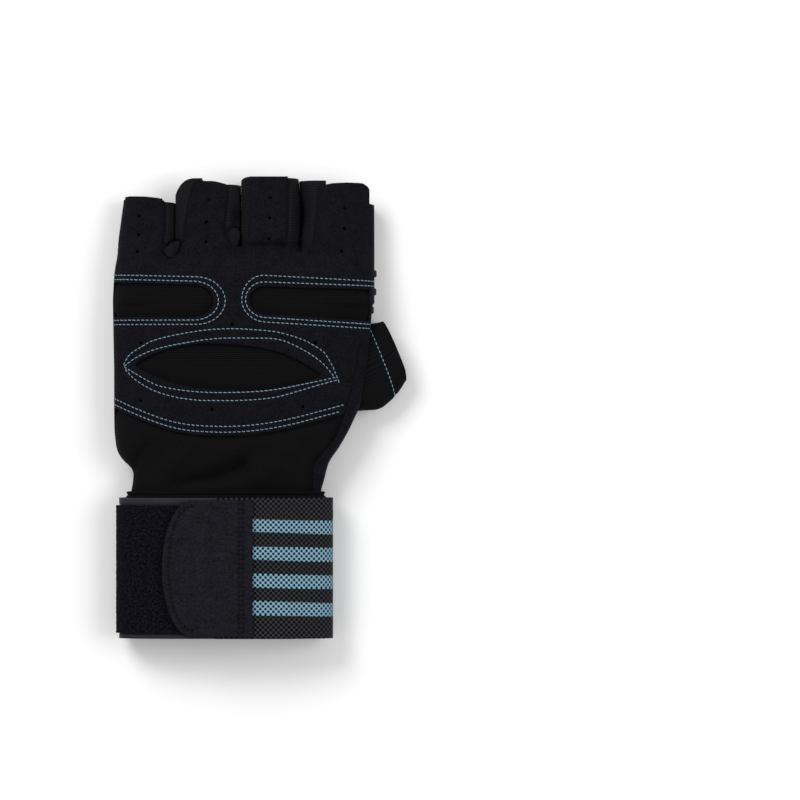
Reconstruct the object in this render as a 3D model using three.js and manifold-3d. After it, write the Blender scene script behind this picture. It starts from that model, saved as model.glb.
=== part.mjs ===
// A left-hand weightlifting glove with a wrist wrap, lying palm down and empty.
// Suede panels cover the back and the palm, stretch-knit gussets, inserts and a heel panel
// join them, a short knit stall takes the thumb, and a striped elastic strap closes round
// the cuff with a hook-and-loop tab.
// Millimetres. +Y runs from the wrist to the fingertips, +X to the thumb side, +Z up from the
// surface that the palm lies on. The origin is the middle of the footprint.
import * as THREE from 'three';
import { mergeVertices } from 'three/addons/utils/BufferGeometryUtils.js';
import Module from 'manifold-3d';

const wasm = await Module();
wasm.setup();

// Driving dimensions of the hand
const handWidth = 110;
const handReach = 135.5; // from the strap's upper edge to the longest fingertip
const handHeight = 26.2;
const seamHeight = 0.48 * handHeight; // where the back meets the palm
const suede = 1.2;
const knit = 1.0;
const layerGap = 0.3;
const seamLap = 4; // how far an insert runs under the suede round its window
const gussetLap = 2.2;
const palmCrotch = 5; // how much deeper the palm is cut between the fingers than the back
const ventDiameter = 1.7;
const rollRadius = 2.5; // the turned-over edge of the gusset beside the ring finger

// Driving dimensions of the thumb stall
const thumbReach = 13.5; // how far the stall stands out past the hand
const thumbLength = 24;
const thumbWidth = 27;
const thumbHeight = 14;
const thumbAngle = THREE.MathUtils.degToRad(23);
const thumbClearance = 0.6; // height of the stall over the surface
const thumbKnit = 1.4;

// Driving dimensions of the wrist
const bandWidth = 59;
const wristWidth = 86;
const wristHeight = 19.2;
const cuffThickness = 1.2;
const cuffRise = 2.6; // the cuff's rim above the strap
const cuffInset = 1.2; // the cuff's lower edge inside the strap
const cuffDraw = 1.6; // how far the rim is drawn in to the hand on each side
const neckTuck = 7; // how far the hand runs down inside the cuff
const elastic = 1.8;
const strapTape = 1.6;
const loopPile = 0.9;
const hookTape = 0.6;
const tapeBorder = 3.2; // the bound border that shows beside the loop patch
const tabLength = 38;
const tabSlant = 12.8; // how far the tab's rounded end runs out
const tabMargin = 0.8;
const tabEdge = 11.6; // from the wrist's middle to the tab's straight edge
const elasticLap = 15.6; // how far the elastic runs under the tab
const strapLap = 6.8; // how far the strap's start runs under the elastic past the tab
const elasticClimb = 15.2; // length over which the elastic climbs onto the strap
const patchMargin = 2.5; // between the elastic's end and the hook and loop patches
const hookWidth = 23.6;

// Section shapes
const handRoundness = 3;
const fingerRoundness = 2.6;
const thumbRoundness = 2.6;
const flatSag = 0.6; // depth that lying on the surface takes off each round underside
const handSides = 36;
const fingerSides = 16;
const ringPitch = 8; // longest step between the hand's sections
const openEnd = 10; // how far the inner forms run past each opening

const layer = { suede: [0, -suede], knit: [-suede - layerGap, -suede - layerGap - knit] };
const handLeft = -(handWidth + thumbReach) / 2;
const handRight = handLeft + handWidth;
const bandTop = bandWidth - (bandWidth + handReach) / 2;
const bandBottom = bandTop - bandWidth;
const acrossHand = (share) => handLeft + share * handWidth;
const alongHand = (share) => bandTop + share * handReach;
const far = 3 * handWidth;
const lastAlong = alongHand(1) + openEnd;

// Hand sections, wrist to crotch: along and both sides are shares of the hand's reach and
// width, low and high of its height.
const handSections = [
  { along: 0.053, left: 0.078, right: 0.807, low: 0.107, high: 0.8 },
  { along: 0.09, left: 0.079, right: 0.818, low: 0.076, high: 0.86 },
  { along: 0.105, left: 0.053, right: 0.823, low: 0.06, high: 0.88 },
  { along: 0.12, left: 0.033, right: 0.832, low: 0.045, high: 0.9 },
  { along: 0.149, left: 0.014, right: 0.86, low: 0.02, high: 0.93 },
  { along: 0.208, left: 0.006, right: 0.902, low: 0.004, high: 0.965 },
  { along: 0.282, left: 0.005, right: 0.944, low: 0, high: 0.99 },
  { along: 0.393, left: 0.005, right: 0.971, low: 0, high: 1 },
  { along: 0.518, left: 0.002, right: 0.984, low: 0, high: 0.992 },
  { along: 0.614, left: 0, right: 0.995, low: 0, high: 0.97 },
  { along: 0.696, left: 0.005, right: 1, low: 0.01, high: 0.91 },
  { along: 0.74, left: 0.014, right: 0.994, low: 0.07, high: 0.82 },
  { along: 0.769, left: 0.024, right: 0.985, low: 0.2, high: 0.66 },
];

// Folds on the back: ends as shares of the hand's width and reach, half width as a share of
// its reach, height as a share of its height. A dent has a height below nought.
const folds = [
  { name: 'heel_bulge', across: 0.03, along: 0.13, acrossEnd: 0.16, alongEnd: 0.22, half: 0.05,
    height: 0.05 },
  { name: 'heel_valley', across: 0.1, along: 0.075, acrossEnd: 0.2, alongEnd: 0.16, half: 0.035,
    height: -0.05 },
  { name: 'heel_crease', across: 0.4, along: 0.05, acrossEnd: 0.56, alongEnd: 0.15, half: 0.035,
    height: -0.05 },
  { name: 'heel_ridge', across: 0.54, along: 0.05, acrossEnd: 0.66, alongEnd: 0.13, half: 0.04,
    height: 0.04 },
  { name: 'middle_step', across: 0.5, along: 0.815, acrossEnd: 0.7, alongEnd: 0.808, half: 0.03,
    height: 0.05 },
  { name: 'middle_crease', across: 0.47, along: 0.765, acrossEnd: 0.72, alongEnd: 0.76, half: 0.035,
    height: -0.05 },
  { name: 'index_crease', across: 0.83, along: 0.75, acrossEnd: 0.96, alongEnd: 0.8, half: 0.035,
    height: -0.03 },
];

// Finger stalls: both sides at the root and the tip as shares of the hand's width, tips on
// the back and on the palm as shares of its reach, and heights as shares of its height.
const fingers = [
  { name: 'little', rootLeft: 0.01, rootRight: 0.235, tipLeft: 0.05, tipRight: 0.235,
    backTip: 0.932, palmTip: 0.925, palmTipOuter: 0.925, low: 0.02, root: 0.93, tip: 0.63 },
  { name: 'ring', rootLeft: 0.235, rootRight: 0.489, tipLeft: 0.242, tipRight: 0.486,
    backTip: 0.98, palmTip: 0.975, palmTipOuter: 0.975, low: 0.015, root: 0.95, tip: 0.68 },
  { name: 'middle', rootLeft: 0.489, rootRight: 0.716, tipLeft: 0.49, tipRight: 0.714,
    backTip: 0.988, palmTip: 1, palmTipOuter: 1, low: 0.01, root: 0.95, tip: 0.7 },
  { name: 'index', rootLeft: 0.716, rootRight: 1, tipLeft: 0.719, tipRight: 0.999,
    backTip: 0.974, palmTip: 0.965, palmTipOuter: 0.908, low: 0.015, root: 0.93, tip: 0.67 },
];
const fingerStations = [
  { along: 0.6, taper: 0, rise: 0 },
  { along: 0.7, taper: 0.1, rise: 0.25 },
  { along: 0.8, taper: 0.25, rise: 0.65 },
  { along: 0.92, taper: 0.75, rise: 0.92 },
  { along: 1.06, taper: 1.1, rise: 1.08 },
];

// Gaps between the fingers, as the cuts in the suede that the gussets fill: sides at the
// foot and the tip as shares of the hand's width, the rest as shares of its reach.
const gaps = [
  { name: 'little_ring', footLeft: 0.193, footRight: 0.265, tipLeft: 0.195, tipRight: 0.31,
    straight: 0.784, floor: 0.742, gussetLeft: 0.914, gussetRight: 0.978 },
  { name: 'ring_middle', footLeft: 0.426, footRight: 0.5155, tipLeft: 0.43, tipRight: 0.5175,
    straight: 0.818, floor: 0.785, gussetLeft: 0.971, gussetRight: 0.999 },
  { name: 'middle_index', footLeft: 0.67, footRight: 0.777, tipLeft: 0.668, tipRight: 0.788,
    straight: 0.799, floor: 0.756, gussetLeft: 0.988, gussetRight: 0.984 },
];

// Windows that run in from the hand's sides, and the pointed one on its back.
const windows = {
  little: { edge: -0.1, tip: 0.389, midEdge: 0.614, midTip: 0.609, halfEdge: 0.055,
    halfTip: 0.0495, round: 0.08 },
  index: { edge: 1.1, tip: 0.524, midEdge: 0.596, midTip: 0.613, halfEdge: 0.055,
    halfTip: 0.042, round: 0.06 },
};
const lens = { left: 0.082, leftAlong: 0.411, right: 0.802, rightAlong: 0.379, rise: 0.08,
  drop: 0.064, fullness: 2.6 };

// The back panel's lower hem, and the seam that joins it to the palm on the thumb's side.
const hem = [
  { across: -0.05, along: 0.3 }, { across: 0.112, along: 0.241 }, { across: 0.25, along: 0.204 },
  { across: 0.388, along: 0.193 }, { across: 0.525, along: 0.196 }, { across: 0.663, along: 0.213 },
  { across: 0.8, along: 0.241 }, { across: 0.93, along: 0.27 },
];
const thumbSeam = [
  { across: 0.981, along: 1.1 }, { across: 0.981, along: 0.548 }, { across: 0.961, along: 0.511 },
  { across: 0.94, along: 0.452 }, { across: 0.922, along: 0.372 }, { across: 0.903, along: 0.31 },
  { across: 0.88, along: 0.241 }, { across: 0.85, along: 0.179 }, { across: 0.8, along: 0.13 },
  { across: 0.773, along: 0.105 }, { across: 0.766, along: 0.024 }, { across: 0.766, along: -0.1 },
];

// Vent holes in the back panel.
const vents = [
  { across: 0.103, along: 0.872 }, { across: 0.1, along: 0.815 }, { across: 0.096, along: 0.763 },
  { across: 0.368, along: 0.923 }, { across: 0.359, along: 0.854 }, { across: 0.358, along: 0.793 },
  { across: 0.604, along: 0.929 }, { across: 0.6, along: 0.866 }, { across: 0.598, along: 0.8 },
  { across: 0.886, along: 0.897 }, { across: 0.886, along: 0.834 }, { across: 0.876, along: 0.763 },
  { across: 0.459, along: 0.5365 }, { across: 0.11, along: 0.479 }, { across: 0.776, along: 0.479 },
  { across: 0.11, along: 0.301 }, { across: 0.383, along: 0.274 }, { across: 0.73, along: 0.282 },
];

// The turned-over edge beside the ring finger, foot to tip: its place along the gap, its
// radius as a share of the roll's, and its depth under the finger's back in radii.
const rollSections = [
  { along: 0, radius: 0.7, depth: 1.1 }, { along: 0.3, radius: 1, depth: 1.4 },
  { along: 0.65, radius: 1, depth: 1.75 }, { along: 1, radius: 0.9, depth: 2.1 },
];

// Thumb stall sections, root to hem: widths either side of its axis as shares of its width.
const thumbPlace = 0.457; // the hem's middle along the hand
const thumbSections = [
  { along: -0.2, upper: 0.6, lower: 0.6, high: 1.1 },
  { along: 0.05, upper: 0.63, lower: 0.66, high: 1.15 },
  { along: 0.35, upper: 0.62, lower: 0.76, high: 1.1 },
  { along: 0.68, upper: 0.56, lower: 0.67, high: 1.02 },
  { along: 0.92, upper: 0.5, lower: 0.54, high: 1 },
  { along: 1, upper: 0.49, lower: 0.46, high: 0.97 },
];

// The cuff's section, and the hand's where the cuff holds it.
const wristMiddle = acrossHand(0.4317);
const wristLow = Math.max(elastic, strapTape) + layerGap;
const wristBox = {
  left: wristMiddle - wristWidth / 2, right: wristMiddle + wristWidth / 2,
  low: wristLow, high: wristLow + wristHeight,
};
const drawnIn = (box, inset) => ({
  left: box.left + inset, right: box.right - inset, low: box.low + inset, high: box.high - inset,
});
const rimBox = { ...wristBox, left: wristBox.left + cuffDraw, right: wristBox.right - cuffDraw };
const neckBox = drawnIn(rimBox, cuffThickness + layerGap);

// A closed three.js geometry as a solid, and a solid as a three.js geometry.
function solidOf(geometry) {
  const loose = geometry.index ? geometry.toNonIndexed() : geometry;
  const bare = new THREE.BufferGeometry().setAttribute('position', loose.getAttribute('position'));
  const merged = mergeVertices(bare, 1e-4);
  return new wasm.Manifold(new wasm.Mesh({
    numProp: 3,
    vertProperties: merged.attributes.position.array,
    triVerts: new Uint32Array(merged.index.array),
  }));
}

function geometryOf(solid) {
  const mesh = solid.getMesh();
  const geometry = new THREE.BufferGeometry();
  geometry.setAttribute('position', new THREE.BufferAttribute(mesh.vertProperties, 3));
  geometry.setIndex(new THREE.BufferAttribute(mesh.triVerts, 1));
  geometry.computeVertexNormals();
  return geometry;
}

// A closed body through rings of points, with a fan over each end.
function loft(rings) {
  const count = rings[0].length;
  const points = rings.flat();
  const faces = [];
  for (let r = 0; r + 1 < rings.length; r += 1) {
    for (let k = 0; k < count; k += 1) {
      const here = r * count + k;
      const next = r * count + ((k + 1) % count);
      faces.push(here, next, here + count, next, next + count, here + count);
    }
  }
  const cap = (ring, start, outward) => {
    const middle = ring.reduce((sum, p) => sum.add(p), new THREE.Vector3()).divideScalar(count);
    const centre = points.push(middle) - 1;
    for (let k = 0; k < count; k += 1) {
      const next = (k + 1) % count;
      faces.push(centre, start + (outward ? k : next), start + (outward ? next : k));
    }
  };
  cap(rings[0], 0, false);
  cap(rings[rings.length - 1], (rings.length - 1) * count, true);
  const geometry = new THREE.BufferGeometry().setFromPoints(points).setIndex(faces);
  const solid = solidOf(geometry);
  return solid.volume() < 0 ? solidOf(geometry.setIndex([...faces].reverse())) : solid;
}

// Height that the folds add at a place on the back: a smooth ridge along each fold's line,
// fading out at the cuff.
function foldHeight(x, y) {
  const clearOfCuff = THREE.MathUtils.smoothstep(y, bandTop + cuffRise, bandTop + 3 * cuffRise);
  return clearOfCuff * folds.reduce((sum, fold) => {
    const start = new THREE.Vector2(acrossHand(fold.across), alongHand(fold.along));
    const end = new THREE.Vector2(acrossHand(fold.acrossEnd), alongHand(fold.alongEnd));
    const line = end.clone().sub(start);
    const place = new THREE.Vector2(x, y).sub(start);
    const share = THREE.MathUtils.clamp(place.dot(line) / line.lengthSq(), 0, 1);
    const distance = place.addScaledVector(line, -share).length() / (fold.half * handReach);
    return sum + fold.height * handHeight * Math.exp(-distance * distance);
  }, 0);
}

// A point of a superellipse at a turn round it, with its underside pressed flat.
function sectionPoint(box, turn, roundness, offset) {
  const low = box.low - flatSag;
  const across = (box.right - box.left) / 2 + offset;
  const up = (box.high - low) / 2 + offset;
  const fall = (1 - Math.abs(Math.cos(turn)) ** roundness) ** (1 / roundness);
  return {
    x: (box.left + box.right) / 2 + across * Math.cos(turn),
    z: Math.max((box.high + low) / 2 + up * fall * Math.sign(Math.sin(turn)), box.low - offset),
  };
}

function ringOf(box, y, sides, roundness, offset) {
  return Array.from({ length: sides }, (_, k) => {
    const turn = (2 * Math.PI * k) / sides;
    const point = sectionPoint(box, turn, roundness, offset);
    const base = sectionPoint(box, turn, roundness, 0);
    const upper = THREE.MathUtils.smoothstep(base.z, seamHeight, box.high - 1);
    return new THREE.Vector3(point.x, y, point.z + upper * foldHeight(base.x, y));
  });
}

// The sections' boxes from the wrist to the crotch, with more between those that lie far apart.
function handBoxes() {
  const boxes = [bandTop - neckTuck, bandTop + cuffRise].map((y) => ({ ...neckBox, y }));
  handSections.forEach((s) => {
    const from = boxes[boxes.length - 1];
    const to = { y: alongHand(s.along), left: acrossHand(s.left), right: acrossHand(s.right),
      low: s.low * handHeight, high: s.high * handHeight };
    const steps = Math.ceil((to.y - from.y) / ringPitch);
    for (let k = 1; k <= steps; k += 1) {
      const between = (name) => THREE.MathUtils.lerp(from[name], to[name], k / steps);
      boxes.push({ y: between('y'), left: between('left'), right: between('right'),
        low: between('low'), high: between('high') });
    }
  });
  return boxes;
}

// The hand without its fingers. Its crotch end moves with the offset.
function handForm(offset, past) {
  const boxes = handBoxes();
  const rings = boxes.map((box, k) => ringOf(box,
    box.y + (k === boxes.length - 1 ? offset : 0) - (k === 0 ? past : 0),
    handSides, handRoundness, offset));
  return loft(rings);
}

// One finger stall. Neighbours overlap by the suede, so that their knit walls nearly touch.
function fingerForm(finger, offset, past) {
  const share = suede + layerGap / 2;
  const rings = fingerStations.map((s, k) => {
    const left = THREE.MathUtils.lerp(finger.rootLeft, finger.tipLeft, s.taper);
    const right = THREE.MathUtils.lerp(finger.rootRight, finger.tipRight, s.taper);
    const high = THREE.MathUtils.lerp(finger.root, finger.tip, s.rise);
    const outerLeft = finger === fingers[0] ? 0 : share;
    const outerRight = finger === fingers[fingers.length - 1] ? 0 : share;
    return ringOf({
      left: acrossHand(left) - outerLeft, right: acrossHand(right) + outerRight,
      low: finger.low * handHeight, high: high * handHeight,
    }, alongHand(s.along) + (k === fingerStations.length - 1 ? past : 0),
    fingerSides, fingerRoundness, offset);
  });
  return loft(rings);
}

const gloveForm = (offset, past = 0) => fingers.reduce(
  (whole, finger) => whole.add(fingerForm(finger, offset, past)), handForm(offset, past));

// One layer of cloth over the whole hand, open at the wrist and the fingertips.
const clothLayer = ([outer, inner]) => gloveForm(outer).subtract(gloveForm(inner, openEnd));

// A plan outline as an upright block.
function prism(points, low = -far, high = far) {
  const outline = new THREE.Shape(points.map((p) => new THREE.Vector2(p.x, p.y)));
  const block = new THREE.ExtrudeGeometry(outline, { depth: high - low, bevelEnabled: false });
  return solidOf(block.translate(0, 0, low));
}

const inPlan = (row) => new THREE.Vector2(acrossHand(row.across), alongHand(row.along));
const smooth = (rows, count) => new THREE.SplineCurve(rows.map(inPlan)).getSpacedPoints(count);
const moved = (points, dx, dy) => points.map((p) => new THREE.Vector2(p.x + dx, p.y + dy));

// A gap's outline, widened by a margin: straight sides down to a half-ellipse foot.
function gapOutline(gap, margin, drop, leftTop = lastAlong, rightTop = lastAlong) {
  const left = acrossHand(gap.footLeft) - margin;
  const right = acrossHand(gap.footRight) + margin;
  const straight = alongHand(gap.straight);
  const depth = straight - alongHand(gap.floor) + margin + drop;
  const steps = 8;
  const foot = Array.from({ length: steps + 1 }, (_, k) => {
    const turn = (Math.PI * k) / steps;
    return new THREE.Vector2((left + right) / 2 - ((right - left) / 2) * Math.cos(turn),
      straight - depth * Math.sin(turn));
  });
  const between = acrossHand(fingers[gaps.indexOf(gap) + 1].rootLeft);
  return [
    new THREE.Vector2(acrossHand(gap.tipLeft) - margin, leftTop), ...foot,
    new THREE.Vector2(acrossHand(gap.tipRight) + margin, rightTop),
    new THREE.Vector2(between, rightTop), new THREE.Vector2(between, leftTop),
  ];
}

// A window's outline, widened by a margin: a slot from the hand's side with a rounded tip.
function windowOutline(slot, margin) {
  const inward = Math.sign(slot.tip - slot.edge);
  const tip = acrossHand(slot.tip) + inward * margin;
  const edge = acrossHand(slot.edge);
  const start = tip - inward * (slot.round * handWidth + margin);
  const steps = 8;
  const level = (x) => (x - edge) / (tip - edge);
  const mid = (x) => alongHand(THREE.MathUtils.lerp(slot.midEdge, slot.midTip, level(x)));
  const half = (x) => margin
    + handReach * THREE.MathUtils.lerp(slot.halfEdge, slot.halfTip, level(x));
  const nose = Array.from({ length: steps + 1 }, (_, k) => {
    const turn = Math.PI * (k / steps - 0.5);
    const x = start + (tip - start) * Math.cos(turn);
    return new THREE.Vector2(x, mid(x) + half(x) * Math.sin(turn));
  });
  return [new THREE.Vector2(edge, mid(edge) - half(edge)), ...nose,
    new THREE.Vector2(edge, mid(edge) + half(edge))];
}

// The pointed window, widened by a margin: two bowed edges between its tips.
function lensOutline(margin) {
  const steps = 14;
  const left = acrossHand(lens.left) - margin;
  const right = acrossHand(lens.right) + margin;
  const edge = (height) => Array.from({ length: steps }, (_, k) => {
    const share = k / steps;
    const x = THREE.MathUtils.lerp(left, right, share);
    const chord = alongHand(THREE.MathUtils.lerp(lens.leftAlong, lens.rightAlong, share));
    return new THREE.Vector2(x, chord + height * (1 - Math.abs(2 * share - 1) ** lens.fullness));
  });
  const upper = edge(lens.rise * handReach + margin);
  const tip = new THREE.Vector2(right, alongHand(lens.rightAlong));
  const lower = edge(-lens.drop * handReach - margin).slice(1).reverse();
  return [...upper, tip, ...lower];
}

// Hand pieces
const suedeLayer = clothLayer(layer.suede);
const knitLayer = clothLayer(layer.knit);
const hemLine = smooth(hem, 10);
const seamLine = smooth(thumbSeam, 24);
const upperHalf = (points, drop = 0) => prism(points, seamHeight - drop, far);

// The plan below the fingertips, on the back or on the palm.
function fingertips(side) {
  const outline = [new THREE.Vector2(handLeft - far, alongHand(-0.5))];
  fingers.forEach((finger, k) => {
    const outer = side === 'backTip' ? finger.backTip : finger.palmTipOuter;
    const left = k === 0 ? handLeft - far : acrossHand(finger.rootLeft);
    const right = k === fingers.length - 1 ? handRight : acrossHand(finger.rootRight);
    outline.push(new THREE.Vector2(left, alongHand(finger[side])));
    outline.push(new THREE.Vector2(right, alongHand(outer)));
  });
  outline.push(new THREE.Vector2(handRight + far, outline[outline.length - 1].y));
  outline.push(new THREE.Vector2(handRight + far, alongHand(-0.5)));
  return outline;
}

// The plan to the little finger's side of the seam, and the plan above the hem.
const leftOfSeam = (margin) => [
  new THREE.Vector2(handLeft - handWidth, seamLine[seamLine.length - 1].y),
  ...moved([...seamLine].reverse(), margin, 0),
  new THREE.Vector2(handLeft - handWidth, seamLine[0].y),
];
const aboveHem = (rise) => [
  ...moved(hemLine, 0, rise), new THREE.Vector2(handRight + handWidth, hemLine[hemLine.length - 1].y),
  new THREE.Vector2(handRight + handWidth, lastAlong), new THREE.Vector2(hemLine[0].x, lastAlong),
];

const openGaps = (solid, drop) => gaps.reduce(
  (rest, gap) => rest.subtract(prism(gapOutline(gap, 0, drop))), solid);

function backPanel() {
  let panel = suedeLayer.intersect(upperHalf(leftOfSeam(0))).intersect(prism(aboveHem(0)));
  panel = panel.intersect(prism(fingertips('backTip')));
  panel = openGaps(panel, 0);
  panel = panel.subtract(prism(windowOutline(windows.little, 0)));
  panel = panel.subtract(prism(windowOutline(windows.index, 0)));
  panel = panel.subtract(prism(lensOutline(0)));
  return vents.reduce((rest, vent) => {
    const hole = new THREE.CylinderGeometry(ventDiameter / 2, ventDiameter / 2, handHeight, 6);
    const place = inPlan(vent);
    hole.rotateX(Math.PI / 2).translate(place.x, place.y, seamHeight + handHeight / 2);
    return rest.subtract(solidOf(hole));
  }, panel);
}

// Thumb stall
function thumbForm(offset, past = 0) {
  const along = new THREE.Vector2(Math.cos(thumbAngle), Math.sin(thumbAngle));
  const aside = new THREE.Vector2(-along.y, along.x);
  const last = thumbSections.length - 1;
  const corner = thumbSections[last].lower * thumbWidth * Math.sin(thumbAngle);
  const hemCentre = new THREE.Vector2(handRight + thumbReach - corner, alongHand(thumbPlace));
  const root = hemCentre.clone().addScaledVector(along, -thumbLength);
  const rings = thumbSections.map((s, k) => {
    const reach = s.along * thumbLength + (k === last ? past : 0) - (k === 0 ? past : 0);
    const centre = root.clone().addScaledVector(along, reach);
    const section = { left: -s.lower * thumbWidth, right: s.upper * thumbWidth,
      low: thumbClearance, high: thumbClearance + s.high * thumbHeight };
    return ringOf(section, 0, fingerSides, thumbRoundness, offset).map((p) => new THREE.Vector3(
      centre.x + aside.x * p.x, centre.y + aside.y * p.x, p.z));
  });
  return loft(rings);
}

const thumbHole = thumbForm(-thumbKnit, 1);

function palmPanel() {
  return openGaps(suedeLayer.subtract(upperHalf(leftOfSeam(layerGap), layerGap)), palmCrotch)
    .intersect(prism(fingertips('palmTip'))).subtract(thumbHole);
}

// A gusset lines both fingers beside its gap and turns round the crotch between them.
function gusset(gap) {
  return knitLayer.intersect(prism(gapOutline(gap, gussetLap, palmCrotch,
    alongHand(gap.gussetLeft), alongHand(gap.gussetRight))));
}

// The gusset beside the ring finger has its free edge turned over into a roll.
function rolledGusset(gap, finger) {
  const sides = 10;
  const rings = rollSections.map((s) => {
    const edge = THREE.MathUtils.lerp(acrossHand(gap.footRight), acrossHand(gap.tipRight), s.along);
    const y = THREE.MathUtils.lerp(alongHand(gap.straight), alongHand(gap.gussetRight), s.along);
    const back = THREE.MathUtils.lerp(finger.root, finger.tip, 0.6 + 0.4 * s.along) * handHeight;
    const radius = rollRadius * s.radius;
    return Array.from({ length: sides }, (_, k) => {
      const turn = (2 * Math.PI * k) / sides;
      return new THREE.Vector3(edge - layerGap - rollRadius + radius * Math.cos(turn), y,
        back - s.depth * rollRadius + radius * Math.sin(turn));
    });
  });
  const roll = loft(rings).subtract(gloveForm(layer.knit[1], openEnd));
  return gusset(gap).add(roll.intersect(prism(gapOutline(gap, -layerGap, 0))));
}

const clearOfGussets = (solid) => gaps.reduce((rest, gap) => rest.subtract(
  prism(gapOutline(gap, gussetLap + layerGap, palmCrotch))), solid);
const sideInsert = (slot) => clearOfGussets(
  knitLayer.intersect(upperHalf(windowOutline(slot, seamLap))));
const lensInsert = () => knitLayer.intersect(upperHalf(lensOutline(seamLap)));

function heelPanel() {
  return knitLayer.intersect(upperHalf(leftOfSeam(gussetLap))).subtract(prism(aboveHem(seamLap)));
}

const thumbStall = () => thumbForm(0).subtract(thumbForm(-thumbKnit, openEnd))
  .subtract(gloveForm(layerGap));

// Wrist: every wrapped piece follows the cuff's section at its own offset.
const wristAngle = (x) => Math.acos((x - wristMiddle) / (wristWidth / 2));
const underAngle = (x) => -wristAngle(x);
const fullTurn = 2 * Math.PI;
const wristStep = fullTurn / handSides;

// A strip wrapped round the cuff between two angles, its inner face at a given offset.
function wrapped(from, to, offsetAt, thickness, top, bottom) {
  const angles = [from];
  for (let k = Math.floor(from / wristStep) + 1; k * wristStep < to - 1e-6; k += 1) {
    angles.push(k * wristStep);
  }
  angles.push(to);
  const face = (extra) => angles.map((angle) => {
    const p = sectionPoint(wristBox, angle, handRoundness, offsetAt(angle) + extra);
    return new THREE.Vector2(p.x, p.z);
  });
  const outline = new THREE.Shape([...face(thickness), ...face(0).reverse()]);
  const strip = new THREE.ExtrudeGeometry(outline, { depth: top - bottom, bevelEnabled: false });
  return solidOf(strip.rotateX(Math.PI / 2).translate(0, top, 0));
}

const loopTurn = 0.58 * fullTurn; // where the loop patch ends under the little finger's side
const lowerBorder = 0.7; // the lower border's width as a share of the upper one's
const strapOffset = layerGap;
const overStrap = strapOffset + strapTape + layerGap;
const hookOffset = overStrap + loopPile + layerGap;
const tabOffset = Math.max(hookOffset + hookTape, overStrap + elastic) + layerGap;
const tabRight = wristMiddle + tabEdge;
const tabLeft = tabRight - tabLength;
const elasticEnd = tabRight - elasticLap;
const strapStart = tabRight + strapLap;

function cuff() {
  const form = (offset, past) => loft([
    { box: wristBox, y: bandBottom + cuffInset - past },
    { box: wristBox, y: bandTop - cuffRise },
    { box: rimBox, y: bandTop + cuffRise },
    { box: rimBox, y: bandTop + cuffRise + Math.max(past, 0.01) },
  ].map(({ box, y }) => ringOf(box, y, handSides, handRoundness, offset)));
  return form(0, 0).subtract(form(-cuffThickness, openEnd));
}

const loopStrap = () => wrapped(wristAngle(strapStart),
  fullTurn + underAngle(wristMiddle - layerGap / 2), () => strapOffset, strapTape, bandTop, bandBottom);

const loopPatch = () => wrapped(wristAngle(elasticEnd - patchMargin), loopTurn,
  () => overStrap, loopPile, bandTop - tapeBorder, bandBottom + lowerBorder * tapeBorder);

// The elastic lies on the cuff, then climbs over the strap's start to its sewn end.
function elasticBand() {
  const climbTo = wristAngle(strapStart + patchMargin);
  const climbFrom = wristAngle(strapStart + patchMargin + elasticClimb);
  const offsetAt = (angle) => strapOffset + (overStrap - strapOffset)
    * THREE.MathUtils.smoothstep(angle, climbFrom, climbTo);
  return wrapped(underAngle(wristMiddle + layerGap / 2), wristAngle(elasticEnd), offsetAt, elastic,
    bandTop, bandBottom);
}

const hookPatch = () => wrapped(wristAngle(elasticEnd - patchMargin),
  wristAngle(tabLeft + patchMargin), () => hookOffset, hookTape,
  (bandTop + bandBottom + hookWidth) / 2, (bandTop + bandBottom - hookWidth) / 2);

// The suede tab over the elastic's end, its free end a half-ellipse.
function strapTab() {
  const half = bandWidth / 2 - tabMargin;
  const middle = (bandTop + bandBottom) / 2;
  const shoulder = tabLeft + tabSlant;
  const steps = 16;
  const nose = Array.from({ length: steps + 1 }, (_, k) => {
    const turn = (Math.PI * k) / steps;
    return new THREE.Vector2(shoulder - tabSlant * Math.sin(turn), middle + half * Math.cos(turn));
  });
  const outline = [new THREE.Vector2(far, middle + half), ...nose,
    new THREE.Vector2(far, middle - half)];
  return wrapped(wristAngle(tabRight), wristAngle(tabLeft - 1), () => tabOffset, suede, bandTop,
    bandBottom).intersect(prism(outline, seamHeight));
}

// Finishes
const finish = (color, roughness) => new THREE.MeshStandardMaterial({ color, roughness });
const finishes = {
  suede: finish('#1b1a20', 0.95), palmSuede: finish('#19181d', 0.95), knit: finish('#121214', 0.9),
  cuff: finish('#151519', 0.9), elastic: finish('#222225', 0.8), tape: finish('#25242c', 0.6),
  loop: finish('#101014', 1), hook: finish('#16161a', 0.8),
};

const glove = new THREE.Group();
const add = (name, solid, material) => {
  const mesh = new THREE.Mesh(geometryOf(solid), material);
  mesh.name = name;
  glove.add(mesh);
};

add('back_panel', backPanel(), finishes.suede);
add('palm_panel', palmPanel(), finishes.palmSuede);
gaps.forEach((gap) => {
  const solid = gap === gaps[0] ? rolledGusset(gap, fingers[1]) : gusset(gap);
  add(`gusset_${gap.name}`, solid, finishes.knit);
});
add('side_insert_little', sideInsert(windows.little), finishes.knit);
add('side_insert_index', sideInsert(windows.index), finishes.knit);
add('back_lens_insert', lensInsert(), finishes.knit);
add('heel_panel', heelPanel(), finishes.knit);
add('thumb_stall', thumbStall(), finishes.knit);
add('cuff', cuff(), finishes.cuff);
add('loop_strap', loopStrap(), finishes.tape);
add('loop_patch', loopPatch(), finishes.loop);
add('elastic_band', elasticBand(), finishes.elastic);
add('hook_patch', hookPatch(), finishes.hook);
add('strap_tab', strapTab(), finishes.suede);

export default glove;
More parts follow.
